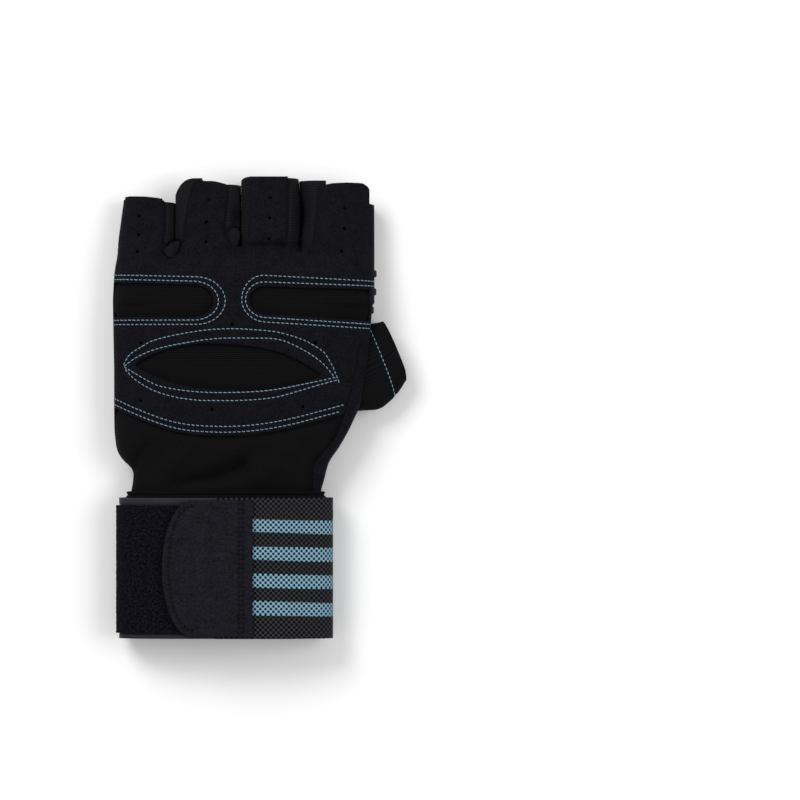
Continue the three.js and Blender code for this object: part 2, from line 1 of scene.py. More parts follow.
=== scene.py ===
"""A left-hand weightlifting glove with a wrist wrap, lying palm down on a pale floor.

Suede back and palm, rib-knit gussets and inserts, a short knit thumb stall, a lined cuff and
a wide striped elastic that a hook-and-loop tab closes. Sizes are in millimetres until a mesh
is made. +Y runs from the wrist to the fingertips, +X to the thumb side, +Z up from the floor.
"""

import functools
import math

import bpy
import numpy as np
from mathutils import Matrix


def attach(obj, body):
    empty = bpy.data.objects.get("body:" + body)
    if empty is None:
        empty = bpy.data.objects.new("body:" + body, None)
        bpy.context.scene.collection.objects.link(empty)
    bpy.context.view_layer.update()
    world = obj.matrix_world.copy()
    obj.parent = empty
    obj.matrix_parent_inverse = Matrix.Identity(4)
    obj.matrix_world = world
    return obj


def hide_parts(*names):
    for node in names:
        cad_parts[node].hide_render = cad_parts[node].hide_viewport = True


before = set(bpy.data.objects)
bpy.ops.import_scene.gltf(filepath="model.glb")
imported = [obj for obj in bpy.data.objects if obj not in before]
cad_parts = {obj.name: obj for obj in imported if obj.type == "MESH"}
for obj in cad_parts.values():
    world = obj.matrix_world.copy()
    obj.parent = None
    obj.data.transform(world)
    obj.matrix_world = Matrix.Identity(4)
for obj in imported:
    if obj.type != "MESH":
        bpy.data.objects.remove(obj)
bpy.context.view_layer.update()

# The back panel: one cut of microfibre suede over the back of the hand and all four fingers,
# raw edged, with punched vent holes. Two side slots and a pointed opening in it let the knit
# inserts show, and it is top-stitched to them and to the palm along the sides.

HAND_WIDTH = 110.0
HAND_REACH = 135.5
HAND_HEIGHT = 26.2
THUMB_REACH = 13.5
BAND_WIDTH = 59.0
SUEDE = 1.2
LAYER_GAP = 0.3
SEAM_HEIGHT = 0.48 * HAND_HEIGHT
HAND_LEFT = -(HAND_WIDTH + THUMB_REACH) / 2
BAND_TOP = BAND_WIDTH - (BAND_WIDTH + HAND_REACH) / 2
FLAT_SAG = 0.6
HAND_ROUND = 3.0
FINGER_ROUND = 2.6
SIDE_FALL = 400.0  # how steeply a form falls past its own sides, in mm per half width
CROTCH_FALL = 8.0  # the same past its end, in mm per mm
CROTCH = 0.769  # where the hand's form ends between the fingers, as a share along
FINGER_START = 0.6  # where the finger stalls' forms start
FOLDS_FROM = (2.6, 7.8)  # how far over the band the folds fade in
HAND_STEP = 0.8  # the panel's mesh pitch
VENT = 0.95  # a vent hole's radius
FURROW = 0.22  # how deep the stitching pulls the suede in
EDGE_DIP = 0.2  # how far a cut edge bends down


def columns(names, rows):
    """A short table as one array per named column."""
    return dict(zip(names.split(), np.array(rows, float).T))


def across(share):
    """A share of the hand's width as a place along X."""
    return HAND_LEFT + np.asarray(share) * HAND_WIDTH


def along(share):
    """A share of the hand's reach as a place along Y."""
    return BAND_TOP + np.asarray(share) * HAND_REACH


def mix(start, end, share):
    """A value the given share of the way from start to end."""
    return start + (end - start) * share


def ease(value, start, end):
    """A smooth step from 0 at start to 1 at end."""
    t = np.clip((value - start) / (end - start), 0, 1)
    return t * t * (3 - 2 * t)


HAND = columns(
    "along left right low high",
    [
        (-0.052, 0.069, 0.794, 0.137, 0.756),
        (0.019, 0.069, 0.794, 0.137, 0.756),
        (0.053, 0.078, 0.807, 0.107, 0.8),
        (0.09, 0.079, 0.818, 0.076, 0.86),
        (0.105, 0.053, 0.823, 0.06, 0.88),
        (0.12, 0.033, 0.832, 0.045, 0.9),
        (0.149, 0.014, 0.86, 0.02, 0.93),
        (0.208, 0.006, 0.902, 0.004, 0.965),
        (0.282, 0.005, 0.944, 0.0, 0.99),
        (0.393, 0.005, 0.971, 0.0, 1.0),
        (0.518, 0.002, 0.984, 0.0, 0.992),
        (0.614, 0.0, 0.995, 0.0, 0.97),
        (0.696, 0.005, 1.0, 0.01, 0.91),
        (0.74, 0.014, 0.994, 0.07, 0.82),
        (0.769, 0.024, 0.985, 0.2, 0.66),
    ],
)
STATIONS = columns(
    "along taper rise",
    [(0.6, 0, 0), (0.7, 0.1, 0.25), (0.8, 0.25, 0.65), (0.92, 0.75, 0.92), (1.06, 1.1, 1.08)],
)
# little, ring, middle and index
FINGERS = columns(
    "root_left root_right tip_left tip_right back palm palm_outer low root tip",
    [
        (0.01, 0.235, 0.05, 0.235, 0.932, 0.925, 0.925, 0.02, 0.93, 0.63),
        (0.235, 0.489, 0.242, 0.486, 0.98, 0.975, 0.975, 0.015, 0.95, 0.68),
        (0.489, 0.716, 0.49, 0.714, 0.988, 1.0, 1.0, 0.01, 0.95, 0.7),
        (0.716, 1.0, 0.719, 0.999, 0.974, 0.965, 0.908, 0.015, 0.93, 0.67),
    ],
)
# Ridges and dents: both ends, half width in mm and height in mm
FOLDS = columns(
    "x0 y0 x1 y1 half height",
    [
        (across(0.03), along(0.13), across(0.16), along(0.22), 6.8, 1.3),
        (across(0.1), along(0.075), across(0.2), along(0.16), 4.7, -1.3),
        (across(0.4), along(0.05), across(0.56), along(0.15), 4.7, -1.2),
        (across(0.56), along(0.05), across(0.68), along(0.13), 5.4, 1.3),
        (across(0.5), along(0.815), across(0.7), along(0.808), 4.1, 1.1),
        (across(0.47), along(0.765), across(0.72), along(0.76), 4.2, -1.1),
        (across(0.83), along(0.75), across(0.96), along(0.8), 4.7, -0.8),
        (across(0.79), along(0.772), across(0.9), along(0.757), 2.6, -0.5),
        (across(0.07), along(0.085), across(0.13), along(0.16), 1.7, -1.8),
        (across(0.27), along(0.03), across(0.5), along(0.095), 3.2, -3.2),
        (across(0.5), along(0.1), across(0.6), along(0.15), 3.2, -0.6),
        (across(0.78), along(0.1), across(0.72), along(0.17), 2.2, -0.7),
        (across(0.22), along(0.09), across(0.32), along(0.17), 3.5, 0.8),
    ],
)
# The step at the middle finger's root: both ends and level in plan, how far the cloth drops at it
# and over how many mm it climbs back below it
STEP = {"x0": across(0.517), "x1": across(0.671), "y": along(0.7885), "drop": 2.1, "climb": 5.5}


def settled(table):
    """A table on fine rows, averaged over 2 mm either way so that no row shows as a crease."""
    fine = np.arange(-0.8, 1.4, 0.002)
    share = fine[:, None] + np.linspace(-2, 2, 7) / HAND_REACH
    found = {n: np.interp(share, table["along"], c).mean(1) for n, c in table.items()}
    return {**found, "along": fine}


HAND, STATIONS = settled(HAND), settled(STATIONS)


def read(table, name, y):
    """A column at y."""
    return np.interp((y - BAND_TOP) / HAND_REACH, table["along"], table[name])


def hand_box(y):
    """The hand's section at y: left, right, low and high."""
    return (
        across(read(HAND, "left", y)),
        across(read(HAND, "right", y)),
        read(HAND, "low", y) * HAND_HEIGHT,
        read(HAND, "high", y) * HAND_HEIGHT,
    )


def finger_box(k, y):
    """A finger stall's section at y. Neighbours share the suede's thickness on their inner sides."""
    taper, rise = read(STATIONS, "taper", y), read(STATIONS, "rise", y)
    share = SUEDE + LAYER_GAP / 2
    left = across(mix(FINGERS["root_left"][k], FINGERS["tip_left"][k], taper)) - share * (k > 0)
    right = across(mix(FINGERS["root_right"][k], FINGERS["tip_right"][k], taper)) + share * (k < 3)
    high = mix(FINGERS["root"][k], FINGERS["tip"][k], rise) * HAND_HEIGHT
    return left, right, FINGERS["low"][k] * HAND_HEIGHT + 0 * high, high


def crown(u, power):
    """A superellipse's height over its middle line: (1 - |u|^power)^(1/power)."""
    return (1 - np.minimum(np.abs(u), 1) ** power) ** (1 / power)


def section(box, x, power, offset, side):
    """Height of a section's upper (side 1) or lower (side -1) face at x, falling away past it."""
    left, right, low, high = box
    half = (right - left) / 2 + offset
    up = (high - low + FLAT_SAG) / 2 + offset
    middle = (high + low - FLAT_SAG) / 2
    u = (x - (left + right) / 2) / half
    past = SIDE_FALL * np.maximum(np.abs(u) - 1, 0)
    if side > 0:
        return middle + up * crown(u, power) - past
    return np.maximum(middle - up * crown(u, power), low - offset) + past


def soft_max(a, b):
    """The greater of two heights, with a fillet about 1 mm wide where they cross."""
    share = np.clip(0.5 + 0.5 * (a - b), 0, 1)
    return mix(b, a, share) + share * (1 - share)


def mid_height(y):
    """Height of the side seam's line, where the upper and lower faces meet."""
    middles = [(b[2] + b[3] - FLAT_SAG) / 2 for b in (hand_box(y), finger_box(1, y))]
    return mix(*middles, ease(y, along(0.68), along(0.77)))


def near_line(x, y, x0, y0, x1, y1):
    """Distance in plan from each point to a straight line between two ends."""
    dx, dy = x1 - x0, y1 - y0
    share = np.clip(((x - x0) * dx + (y - y0) * dy) / (dx * dx + dy * dy), 0, 1)
    return np.hypot(x - x0 - share * dx, y - y0 - share * dy)


def ripple(x, y, length, seed):
    """A gentle unevenness from -1 to 1: six sine waves in seeded directions about length long."""
    draw = np.random.default_rng(seed)
    turn = draw.uniform(0, 2 * math.pi, (2, 6))
    wave = 2 * math.pi / (length * draw.uniform(0.7, 1.5, 6))
    where = x[..., None] * np.cos(turn[0]) + y[..., None] * np.sin(turn[0])
    return np.sin(where * wave + turn[1]).mean(-1) * 1.6


def fold_height(x, y):
    """What the folds add: for each, its height times exp(-(distance / half width)^2), less the
    step's drop, plus a gentle unevenness."""
    total = 0.0
    for x0, y0, x1, y1, half, height in np.column_stack(list(FOLDS.values())):
        total = total + height * np.exp(-((near_line(x, y, x0, y0, x1, y1) / half) ** 2))
    span = ease(x, STEP["x0"] - 1, STEP["x0"] + 2) * ease(-x, -STEP["x1"] - 1, 2 - STEP["x1"])
    level = STEP["y"]
    sunk = ease(y, level - STEP["climb"], level - 0.9) * ease(-y, -level - 0.5, -level + 0.5)
    total = total - STEP["drop"] * span * sunk
    total = total + 0.3 * ripple(x, y, 34, 3) + 0.1 * ripple(x, y, 11, 4)
    return total * ease(y, *(BAND_TOP + np.array(FOLDS_FROM)))


def glove_top(x, y, offset=0.0):
    """Height of the glove's upper face: the hand and fingers joined with fillets, plus the folds."""
    x, y = np.broadcast_arrays(np.asarray(x, float), np.asarray(y, float))
    box = hand_box(y)
    z = section(box, x, HAND_ROUND, offset, 1)
    z = z - CROTCH_FALL * np.maximum(y - along(CROTCH) - offset, 0)
    for k in range(4):
        finger = section(finger_box(k, y), x, FINGER_ROUND, offset, 1)
        z = soft_max(z, finger - CROTCH_FALL * np.maximum(along(FINGER_START) - y, 0))
    middle = mid_height(y)
    z = np.maximum(z, middle)
    return z + fold_height(x, y) * ease(z, middle, middle + 8)


def glove_bottom(x, y, offset=0.0):
    """Height of the glove's lower face, pressed flat where it lies on the floor."""
    x, y = np.broadcast_arrays(np.asarray(x, float), np.asarray(y, float))
    z = section(hand_box(y), x, HAND_ROUND, offset, -1)
    z = z + CROTCH_FALL * np.maximum(y - along(CROTCH) - offset, 0)
    for k in range(4):
        finger = section(finger_box(k, y), x, FINGER_ROUND, offset, -1)
        z = -soft_max(-z, -finger - CROTCH_FALL * np.maximum(along(FINGER_START) - y, 0))
    return np.minimum(z, mid_height(y))


def side_edge(y, side, offset=0.0):
    """The glove's widest place on its left (side -1) or right (side 1)."""
    hand, finger = hand_box(y), finger_box(0 if side < 0 else 3, y)
    pick = 0 if side < 0 else 1
    inner = side * hand[pick] - CROTCH_FALL * np.maximum(y - along(CROTCH), 0)
    outer = side * finger[pick] - CROTCH_FALL * np.maximum(along(FINGER_START) - y, 0)
    return side * (soft_max(inner, outer) + offset)


@functools.lru_cache(None)
def seam_table(side, offset):
    """Rows of y and where the upper face comes down to the side seam's height in each."""
    y = np.arange(BAND_TOP - BAND_WIDTH, along(1.1), 0.5)
    x = side_edge(y, side, offset)[:, None] - side * np.linspace(0, 8, 161)
    z = glove_top(x, y[:, None], offset)
    level = np.maximum(mid_height(y), SEAM_HEIGHT)[:, None]
    found = (z >= level + 0.02).argmax(1)
    return y, x[np.arange(len(y)), found]


def seam_edge(y, side, offset=0.0):
    """The upper face's edge at the side seam's height, on the left or the right."""
    return np.interp(y, *seam_table(side, offset))


# The sheet's own coordinates: arc length s over a typical section, and y
TURN = np.linspace(-math.pi / 2, math.pi / 2, 4001)
PROFILE_X = np.sign(TURN) * np.abs(np.sin(TURN)) ** (2 / HAND_ROUND)
PROFILE_Z = np.cos(TURN) ** (2 / HAND_ROUND)
ARC_STEPS = np.hypot(np.diff(PROFILE_X) * HAND_WIDTH / 2, np.diff(PROFILE_Z) * HAND_HEIGHT / 2)
ARC = np.append(0, np.cumsum(ARC_STEPS)) - ARC_STEPS.sum() / 2


def to_plan(s, y, offset=0.0):
    """Plan place x of a point of the back's sheet, from its arc length s and y."""
    left, right = seam_edge(y, -1, offset), seam_edge(y, 1, offset)
    return mix(left, right, (np.interp(s, ARC, PROFILE_X) + 1) / 2)


def to_sheet(x, y, offset=0.0):
    """Arc length s of a plan point. Past the sides it runs on at a steady rate."""
    left, right = seam_edge(y, -1, offset), seam_edge(y, 1, offset)
    w = 2 * (x - left) / (right - left) - 1
    return np.interp(w, PROFILE_X, ARC) + (w - np.clip(w, -1, 1)) * HAND_WIDTH


def dense(line, pitch=1.0, closed=False):
    """A line of plan points with more set between them, at most pitch apart."""
    line = np.asarray(line, float)
    if closed:
        line = np.vstack([line, line[:1]])
    length = np.append(0, np.cumsum(np.hypot(*np.diff(line, axis=0).T)))
    at = np.linspace(0, length[-1], max(2, int(length[-1] / pitch) + 2))
    found = np.column_stack([np.interp(at, length, line[:, 0]), np.interp(at, length, line[:, 1])])
    return found[:-1] if closed else found


def rounded(rows, count=60):
    """A smooth line through a few plan points, a Catmull-Rom curve."""
    rows = np.asarray(rows, float)
    rows = np.vstack([2 * rows[0] - rows[1], rows, 2 * rows[-1] - rows[-2]])
    t = np.linspace(0, len(rows) - 3 - 1e-9, count)
    k = t.astype(int)
    f = (t - k)[:, None]
    a, b, c, d = rows[k], rows[k + 1], rows[k + 2], rows[k + 3]
    return 0.5 * (
        2 * b + (c - a) * f + (2 * a - 5 * b + 4 * c - d) * f**2 + (3 * b - a - 3 * c + d) * f**3
    )


def distance_to(points, line, closed):
    """Distance from each point to a line, the nearest place on it, and whether it is inside."""
    start = line if closed else line[:-1]
    end = np.roll(line, -1, axis=0) if closed else line[1:]
    way = end - start
    size = np.maximum((way**2).sum(-1), 1e-12)
    distance = np.full(len(points), 1e3)
    nearest = points.copy()
    inside = np.zeros(len(points), bool)
    reach = 4.0
    near = ((points > line.min(0) - reach) & (points < line.max(0) + reach)).all(1)
    chosen = np.flatnonzero(near)
    for part in np.array_split(chosen, max(1, len(chosen) * len(start) // 2_000_000 + 1)):
        here = points[part][:, None]
        share = np.clip(((here - start) * way).sum(-1) / size, 0, 1)
        foot = start + share[..., None] * way
        gap = np.hypot(*np.moveaxis(here - foot, -1, 0))
        best = gap.argmin(1)
        distance[part] = gap[np.arange(len(part)), best]
        nearest[part] = foot[np.arange(len(part)), best]
        if closed:
            px, py = here[..., 0], here[..., 1]
            crosses = (start[:, 1] > py) != (end[:, 1] > py)
            rise = np.where(np.abs(way[:, 1]) < 1e-12, 1e-12, way[:, 1])
            crosses &= px < start[:, 0] + (py - start[:, 1]) / rise * way[:, 0]
            inside[part] = crosses.sum(1) % 2 == 1
    return distance, nearest, inside


def trim(points, shape, pitch, keep, cut):
    """Fits a grid to outlines: nodes within half a pitch of the edge move onto it, and the faces
    outside are left out. Gives the points, the faces and each point's distance from the edge."""
    total = np.full(len(points), -1e3)
    target = points.copy()
    for line, hole in [(k, False) for k in keep] + [(c, True) for c in cut]:
        distance, nearest, inside = distance_to(points, line, True)
        signed = np.where(inside != hole, -distance, distance)
        wins = signed > total
        total[wins] = signed[wins]
        target[wins] = nearest[wins]
    snapped = np.abs(total) <= 0.5 * pitch
    points = np.where(snapped[:, None], target, points)
    state = np.where(snapped, 0, np.sign(total))
    quads = grid_faces(shape)
    s = state[quads]
    whole = (s.max(1) <= 0) & ((s.min(1) < 0) | (total[quads].mean(1) < 0))
    corner = (s > 0).sum(1) == 1
    turn = (s[corner].argmax(1)[:, None] + np.arange(1, 4)) % 4
    triangles = np.take_along_axis(quads[corner], turn, 1)
    inner = state[triangles]
    triangles = triangles[(inner.min(1) < 0) | (total[triangles].mean(1) < 0)]
    return points, quads[whole].tolist() + triangles.tolist(), total


def grid_faces(shape, closed=False, turned=False):
    """The quads of a grid of points, joined round on itself where closed, turned over where asked."""
    index = np.arange(shape[0] * shape[1]).reshape(shape)
    if closed:
        index = np.hstack([index, index[:, :1]])
    low, high = index[:-1], index[1:]
    quads = np.stack([low[:, :-1], low[:, 1:], high[:, 1:], high[:, :-1]], -1).reshape(-1, 4)
    return quads[:, [0, 3, 2, 1]] if turned else quads


def as_points(*parts):
    """Three arrays that broadcast together, as rows of three."""
    return np.stack(np.broadcast_arrays(*parts), -1).reshape(-1, 3)


def piece(name, points, faces, thickness=0.0, flip=False, cloth=None):
    """A mesh object from points in mm, wound outwards, with a wall inwards and its place on the
    flat cloth as a vector layer."""
    mesh = bpy.data.meshes.new(name)
    used = np.unique(np.concatenate([np.ravel(f) for f in faces]) if faces else [])
    lookup = np.full(len(points), -1)
    lookup[used] = np.arange(len(used))
    order = [lookup[np.array(f)][::-1] if flip else lookup[np.array(f)] for f in faces]
    mesh.from_pydata(points[used] * 0.001, [], [f.tolist() for f in order])
    if cloth is not None:
        store = mesh.attributes.new("cloth", "FLOAT_VECTOR", "POINT")
        store.data.foreach_set("vector", np.asarray(cloth, np.float32)[used].ravel())
    mesh.polygons.foreach_set("use_smooth", np.ones(len(mesh.polygons), bool))
    mesh.update()
    made = bpy.data.objects.new(name, mesh)
    bpy.context.scene.collection.objects.link(made)
    if thickness:
        wall = made.modifiers.new("wall", "SOLIDIFY")
        wall.thickness = thickness * 0.001
        wall.offset = -1
    return made


def cloth_area(made):
    """The area of a cloth's one face, in square metres."""
    sizes = np.zeros(len(made.data.polygons), np.float32)
    made.data.polygons.foreach_get("area", sizes)
    return float(sizes.sum())


def linear(colour):
    """An sRGB hex colour as linear RGBA."""
    value = np.array([int(colour[i : i + 2], 16) for i in (1, 3, 5)]) / 255
    flat = np.where(value <= 0.04045, value / 12.92, ((value + 0.055) / 1.055) ** 2.4)
    return (*flat.tolist(), 1.0)


def add(tree, kind, inputs=None, **settings):
    """Adds one shader node with its settings and gives its outputs. An input given a socket is
    linked to it."""
    made = tree.nodes.new("ShaderNode" + kind)
    for name, value in settings.items():
        setattr(made, name, value)
    for name, value in (inputs or {}).items():
        if isinstance(value, bpy.types.NodeSocket):
            tree.links.new(value, made.inputs[name])
        else:
            made.inputs[name].default_value = value
    return made.outputs


def finish(name, roughness, specular, sheen=0.0, sheen_roughness=0.5):
    """A new material's tree and its surface shader, with the plain values set on its sockets."""
    made = bpy.data.materials.new(name)
    made.use_nodes = True
    tree = made.node_tree
    surface = tree.nodes["Principled BSDF"]
    surface.inputs["Roughness"].default_value = roughness
    surface.inputs["Specular IOR Level"].default_value = specular
    surface.inputs["Sheen Weight"].default_value = sheen
    surface.inputs["Sheen Roughness"].default_value = sheen_roughness
    return made, tree, surface


def ramp(tree, value, low, high, start, end):
    """A colour from low to high, both in hex, as the value runs from start to end."""
    share = add(tree, "MapRange", {"Value": value, "From Min": start, "From Max": end})["Result"]
    return add(tree, "Mix", {0: share, 6: linear(low), 7: linear(high)}, data_type="RGBA")[2]


def coat(tree, surface, colour, height, depth):
    """Gives a surface its colour, and relief of a depth in mm from a height of 0 to 1."""
    relief = {"Strength": 1.0, "Distance": depth * 0.001, "Height": height}
    tree.links.new(colour, surface.inputs["Base Color"])
    tree.links.new(add(tree, "Bump", relief)["Normal"], surface.inputs["Normal"])


def suede_material(name, dark, light):
    """Microfibre suede, buffed to a short nap: a fine grain and a broad mottle where it lies
    two ways, almost no gloss, a faint sheen across the nap. The real grain is too fine to show,
    so it is drawn 1 mm coarse. Where the cloth layer's third value rises, the colour is mixed
    towards near black: painted shade in the needle holes."""
    made, tree, surface = finish(name, 0.9, 0.06, 0.012, 0.45)
    where = add(tree, "Attribute", attribute_name="cloth")["Vector"]
    nap = {"Vector": where, "Scale": 1.0, "Detail": 4.0, "Roughness": 0.75}
    broad = {"Vector": where, "Scale": 0.22, "Detail": 3.0, "Roughness": 0.6}
    grain, mottle = (add(tree, "TexNoise", grains)["Fac"] for grains in (nap, broad))
    worn = add(tree, "Math", {0: mottle, 1: 0.3, 2: grain}, operation="MULTIPLY_ADD")[0]
    face = ramp(tree, worn, dark, light, 0.45, 0.85)
    # The cloth layer's third value: near a needle hole it mixes the colour towards near black,
    # painted shade in the hole.
    hole_shade = add(tree, "SeparateXYZ", {0: where})[2]
    hole = {0: hole_shade, 6: face, 7: linear("#020203")}
    coat(tree, surface, add(tree, "Mix", hole, data_type="RGBA")[2], grain, 0.14)
    return made


suede = suede_material("suede", "#030205", "#15141a")

# The side slots: where each starts and ends across, and its middle, half width and tip radius
WINDOWS = columns(
    "edge tip mid_edge mid_tip half_edge half_tip round",
    [
        (-0.1, 0.389, 0.614, 0.609, 0.055, 0.0495, 0.08),
        (1.1, 0.524, 0.592, 0.613, 0.051, 0.042, 0.06),
    ],
)
# The pointed opening: its tips, and how far its bows rise and drop from the line between them
LENS = {"left": (0.082, 0.411), "right": (0.802, 0.379), "rise": 0.08, "drop": 0.064, "full": 2.6}
# The back panel's lower hem, from the little finger's side
HEM = [
    (-0.05, 0.3), (0.112, 0.241), (0.25, 0.204), (0.388, 0.193),
    (0.525, 0.196), (0.663, 0.213), (0.8, 0.241), (0.93, 0.27),
]
# The thumb side's seam, from the index finger down to the wrist
THUMB_SEAM = [
    (0.981, 1.1), (0.981, 0.555), (0.974, 0.535), (0.962, 0.511), (0.94, 0.452),
    (0.922, 0.372), (0.903, 0.31), (0.88, 0.241), (0.85, 0.179), (0.8, 0.13),
    (0.773, 0.105), (0.766, 0.024), (0.766, -0.1),
]
# The gaps between the fingers: the foot's and the tips' sides across, where the straight sides
# end and the floor lies, and where the gusset ends on either side
GAPS = columns(
    "foot_left foot_right tip_left tip_right straight floor gusset_left gusset_right",
    [
        (0.193, 0.272, 0.193, 0.325, 0.784, 0.742, 0.917, 0.991),
        (0.426, 0.5165, 0.437, 0.5195, 0.818, 0.78, 0.971, 0.998),
        (0.665, 0.775, 0.669, 0.796, 0.799, 0.75, 0.991, 0.986),
    ],
)
# The gaps' cut edges in the back panel: both sides as shares across, from the tips down
EDGES = columns(
    "gap along left right",
    [
        (0, 0.991, 0.1871, 0.3333), (0, 0.963, 0.1882, 0.3120),
        (0, 0.923, 0.1924, 0.2955), (0, 0.892, 0.1966, 0.2871),
        (0, 0.861, 0.1974, 0.2826), (0, 0.818, 0.1940, 0.2757),
        (0, 0.796, 0.1898, 0.2719), (0, 0.784, 0.1875, 0.2680),
        (0, 0.768, 0.1871, 0.2520), (0, 0.756, 0.1886, 0.2405),
        (0, 0.745, 0.1997, 0.2314), (0, 0.739, 0.2138, 0.2230),
        (1, 1.001, 0.4406, 0.5231), (1, 0.936, 0.4349, 0.5216),
        (1, 0.886, 0.4307, 0.5208), (1, 0.849, 0.4265, 0.5204),
        (1, 0.818, 0.4276, 0.5193), (1, 0.799, 0.4372, 0.5162),
        (1, 0.785, 0.4540, 0.5055), (1, 0.778, 0.4754, 0.4937),
        (2, 1.016, 0.6697, 0.7992), (2, 0.936, 0.6674, 0.7889),
        (2, 0.892, 0.6663, 0.7850), (2, 0.843, 0.6648, 0.7789),
        (2, 0.799, 0.6632, 0.7736), (2, 0.781, 0.6705, 0.7572),
        (2, 0.765, 0.6800, 0.7468), (2, 0.756, 0.6888, 0.7373),
        (2, 0.750, 0.7056, 0.7209),
    ],
)
# The fingertips' cut edge, from the little finger to the index
TIPS = [
    (0.030, 0.9139), (0.043, 0.9306), (0.060, 0.9347), (0.125, 0.9337),
    (0.175, 0.9294), (0.188, 0.9263), (0.297, 0.9759), (0.331, 0.9821),
    (0.389, 0.9812), (0.446, 0.9697), (0.488, 0.9852), (0.519, 0.9945),
    (0.606, 0.9982), (0.667, 0.9976), (0.717, 0.9914), (0.790, 0.9666),
    (0.841, 0.9750), (0.898, 0.9771), (0.956, 0.9750), (0.980, 0.9616),
    (0.987, 0.9130),
]
VENTS = [
    (0.103, 0.872), (0.1, 0.815), (0.096, 0.763), (0.368, 0.923), (0.359, 0.854), (0.358, 0.793),
    (0.604, 0.929), (0.6, 0.866), (0.598, 0.8), (0.886, 0.897), (0.886, 0.834), (0.876, 0.763),
    (0.459, 0.5365), (0.11, 0.479), (0.776, 0.479), (0.11, 0.301), (0.383, 0.274), (0.73, 0.282),
]
FAR = 30.0  # how far an open outline runs past the hand


def in_plan(rows):
    """Rows of shares across and along as plan points."""
    rows = np.asarray(rows, float)
    return np.column_stack([across(rows[:, 0]), along(rows[:, 1])])


def slot_line(k, margin, tip_margin=0.0, lift=0.0):
    """A side slot's edge, widened by a margin: in along one side, round its tip and out again. Its
    tip may reach further, and its upper side may rise towards the tip."""
    row = {name: values[k] for name, values in WINDOWS.items()}
    inward = np.sign(row["tip"] - row["edge"])
    tip = across(row["tip"]) + inward * (margin + tip_margin)
    edge = across(row["edge"])
    start = tip - inward * (row["round"] * HAND_WIDTH + margin)
    turn = np.linspace(-math.pi / 2, math.pi / 2, 25)
    x = np.concatenate([[edge], start + (tip - start) * np.cos(turn), [edge]])
    swing = np.concatenate([[-1], np.sin(turn), [1]])
    level = (x - edge) / (tip - edge)
    half = margin + HAND_REACH * mix(row["half_edge"], row["half_tip"], level)
    rise = lift * level * np.maximum(swing, 0)
    middle = along(mix(row["mid_edge"], row["mid_tip"], level))
    return np.column_stack([x, middle + half * swing + rise])


def lens_line(margin):
    """The pointed opening's edge, widened by a margin: two bows between its tips."""
    (left, left_y), (right, right_y) = in_plan([LENS["left"], LENS["right"]])
    share = np.linspace(0, 1, 41)
    x = mix(left - margin, right + margin, share)
    bow = 1 - np.abs(2 * share - 1) ** LENS["full"]
    chord = mix(left_y, right_y, share)
    upper = np.column_stack([x, chord + (LENS["rise"] * HAND_REACH + margin) * bow])
    lower = np.column_stack([x, chord - (LENS["drop"] * HAND_REACH + margin) * bow])
    return np.vstack([upper, lower[-2:0:-1]])


def gap_line(k, margin, drop):
    """A finger gap's outline, widened by a margin: straight sides down to a half-ellipse foot."""
    row = {name: values[k] for name, values in GAPS.items()}
    left, right = across(row["foot_left"]) - margin, across(row["foot_right"]) + margin
    straight = along(row["straight"])
    depth = straight - along(row["floor"]) + margin + drop
    turn = np.linspace(0, math.pi, 25)
    foot_x = (left + right) / 2 - (right - left) / 2 * np.cos(turn)
    foot = np.column_stack([foot_x, straight - depth * np.sin(turn)])
    tip_left, tip_right = across(row["tip_left"]) - margin, across(row["tip_right"]) + margin
    return np.vstack([[tip_left, along(1) + FAR], foot, [tip_right, along(1) + FAR]])


def palm_tips():
    """The plan below the palm's fingertips as a closed outline, stepped from finger to finger. The
    index finger's tip slopes down to its outer side."""
    points = [(HAND_LEFT - FAR, along(-0.5))]
    for k in range(4):
        root_left, root_right = FINGERS["root_left"][k], FINGERS["root_right"][k]
        left = HAND_LEFT - FAR if k == 0 else across(root_left)
        right = across(root_right) + (FAR if k == 3 else 0)
        tip = FINGERS["palm"][k]
        slope = (FINGERS["palm_outer"][k] - tip) / ((root_right - root_left) * HAND_WIDTH)
        outer = tip + slope * (right - left)
        points += [(left, along(tip)), (right, along(outer))]
    return np.array([*points, (across(1) + FAR, along(-0.5))])


def gap_edge(k):
    """A finger gap's cut edge in the back panel, run on past the fingertips."""
    own = EDGES["gap"] == k
    left, right, level = (EDGES[name][own] for name in ("left", "right", "along"))
    down = np.column_stack([left, level])
    up = np.column_stack([right, level])[::-1]
    over = [(right[0], 1.3), (left[0], 1.3)]
    return in_plan(np.vstack([down, up, over]))


def tips_edge():
    """The plan below the back panel's fingertips, as a closed outline."""
    line = in_plan(TIPS)
    far, low = across(1) + FAR, along(-0.5)
    start = [(HAND_LEFT - FAR, low), (HAND_LEFT - FAR, line[0, 1])]
    return np.vstack([start, line, [(far, line[-1, 1]), (far, low)]])


hem_line = rounded(in_plan(HEM))
seam_line = rounded(in_plan(THUMB_SEAM), 120)


def above_hem(rise):
    """The plan above the hem moved up by a rise."""
    end = [(across(1) + FAR, hem_line[-1, 1] + rise), (across(1) + FAR, along(1) + FAR)]
    start = [(HAND_LEFT - FAR, along(1) + FAR), (HAND_LEFT - FAR, hem_line[0, 1] + rise)]
    return np.vstack([hem_line + (0, rise), end, start])


def left_of_seam(margin):
    """The plan to the little finger's side of the thumb side's seam."""
    far = HAND_LEFT - 2 * FAR
    return np.vstack([seam_line + (margin, 0), [far, seam_line[-1, 1]], [far, seam_line[0, 1]]])


def on_sheet(line, offset=0.0):
    """A closed plan outline in the sheet's coordinates."""
    fine = dense(line, 1.2, True)
    return np.column_stack([to_sheet(fine[:, 0], fine[:, 1], offset), fine[:, 1]])


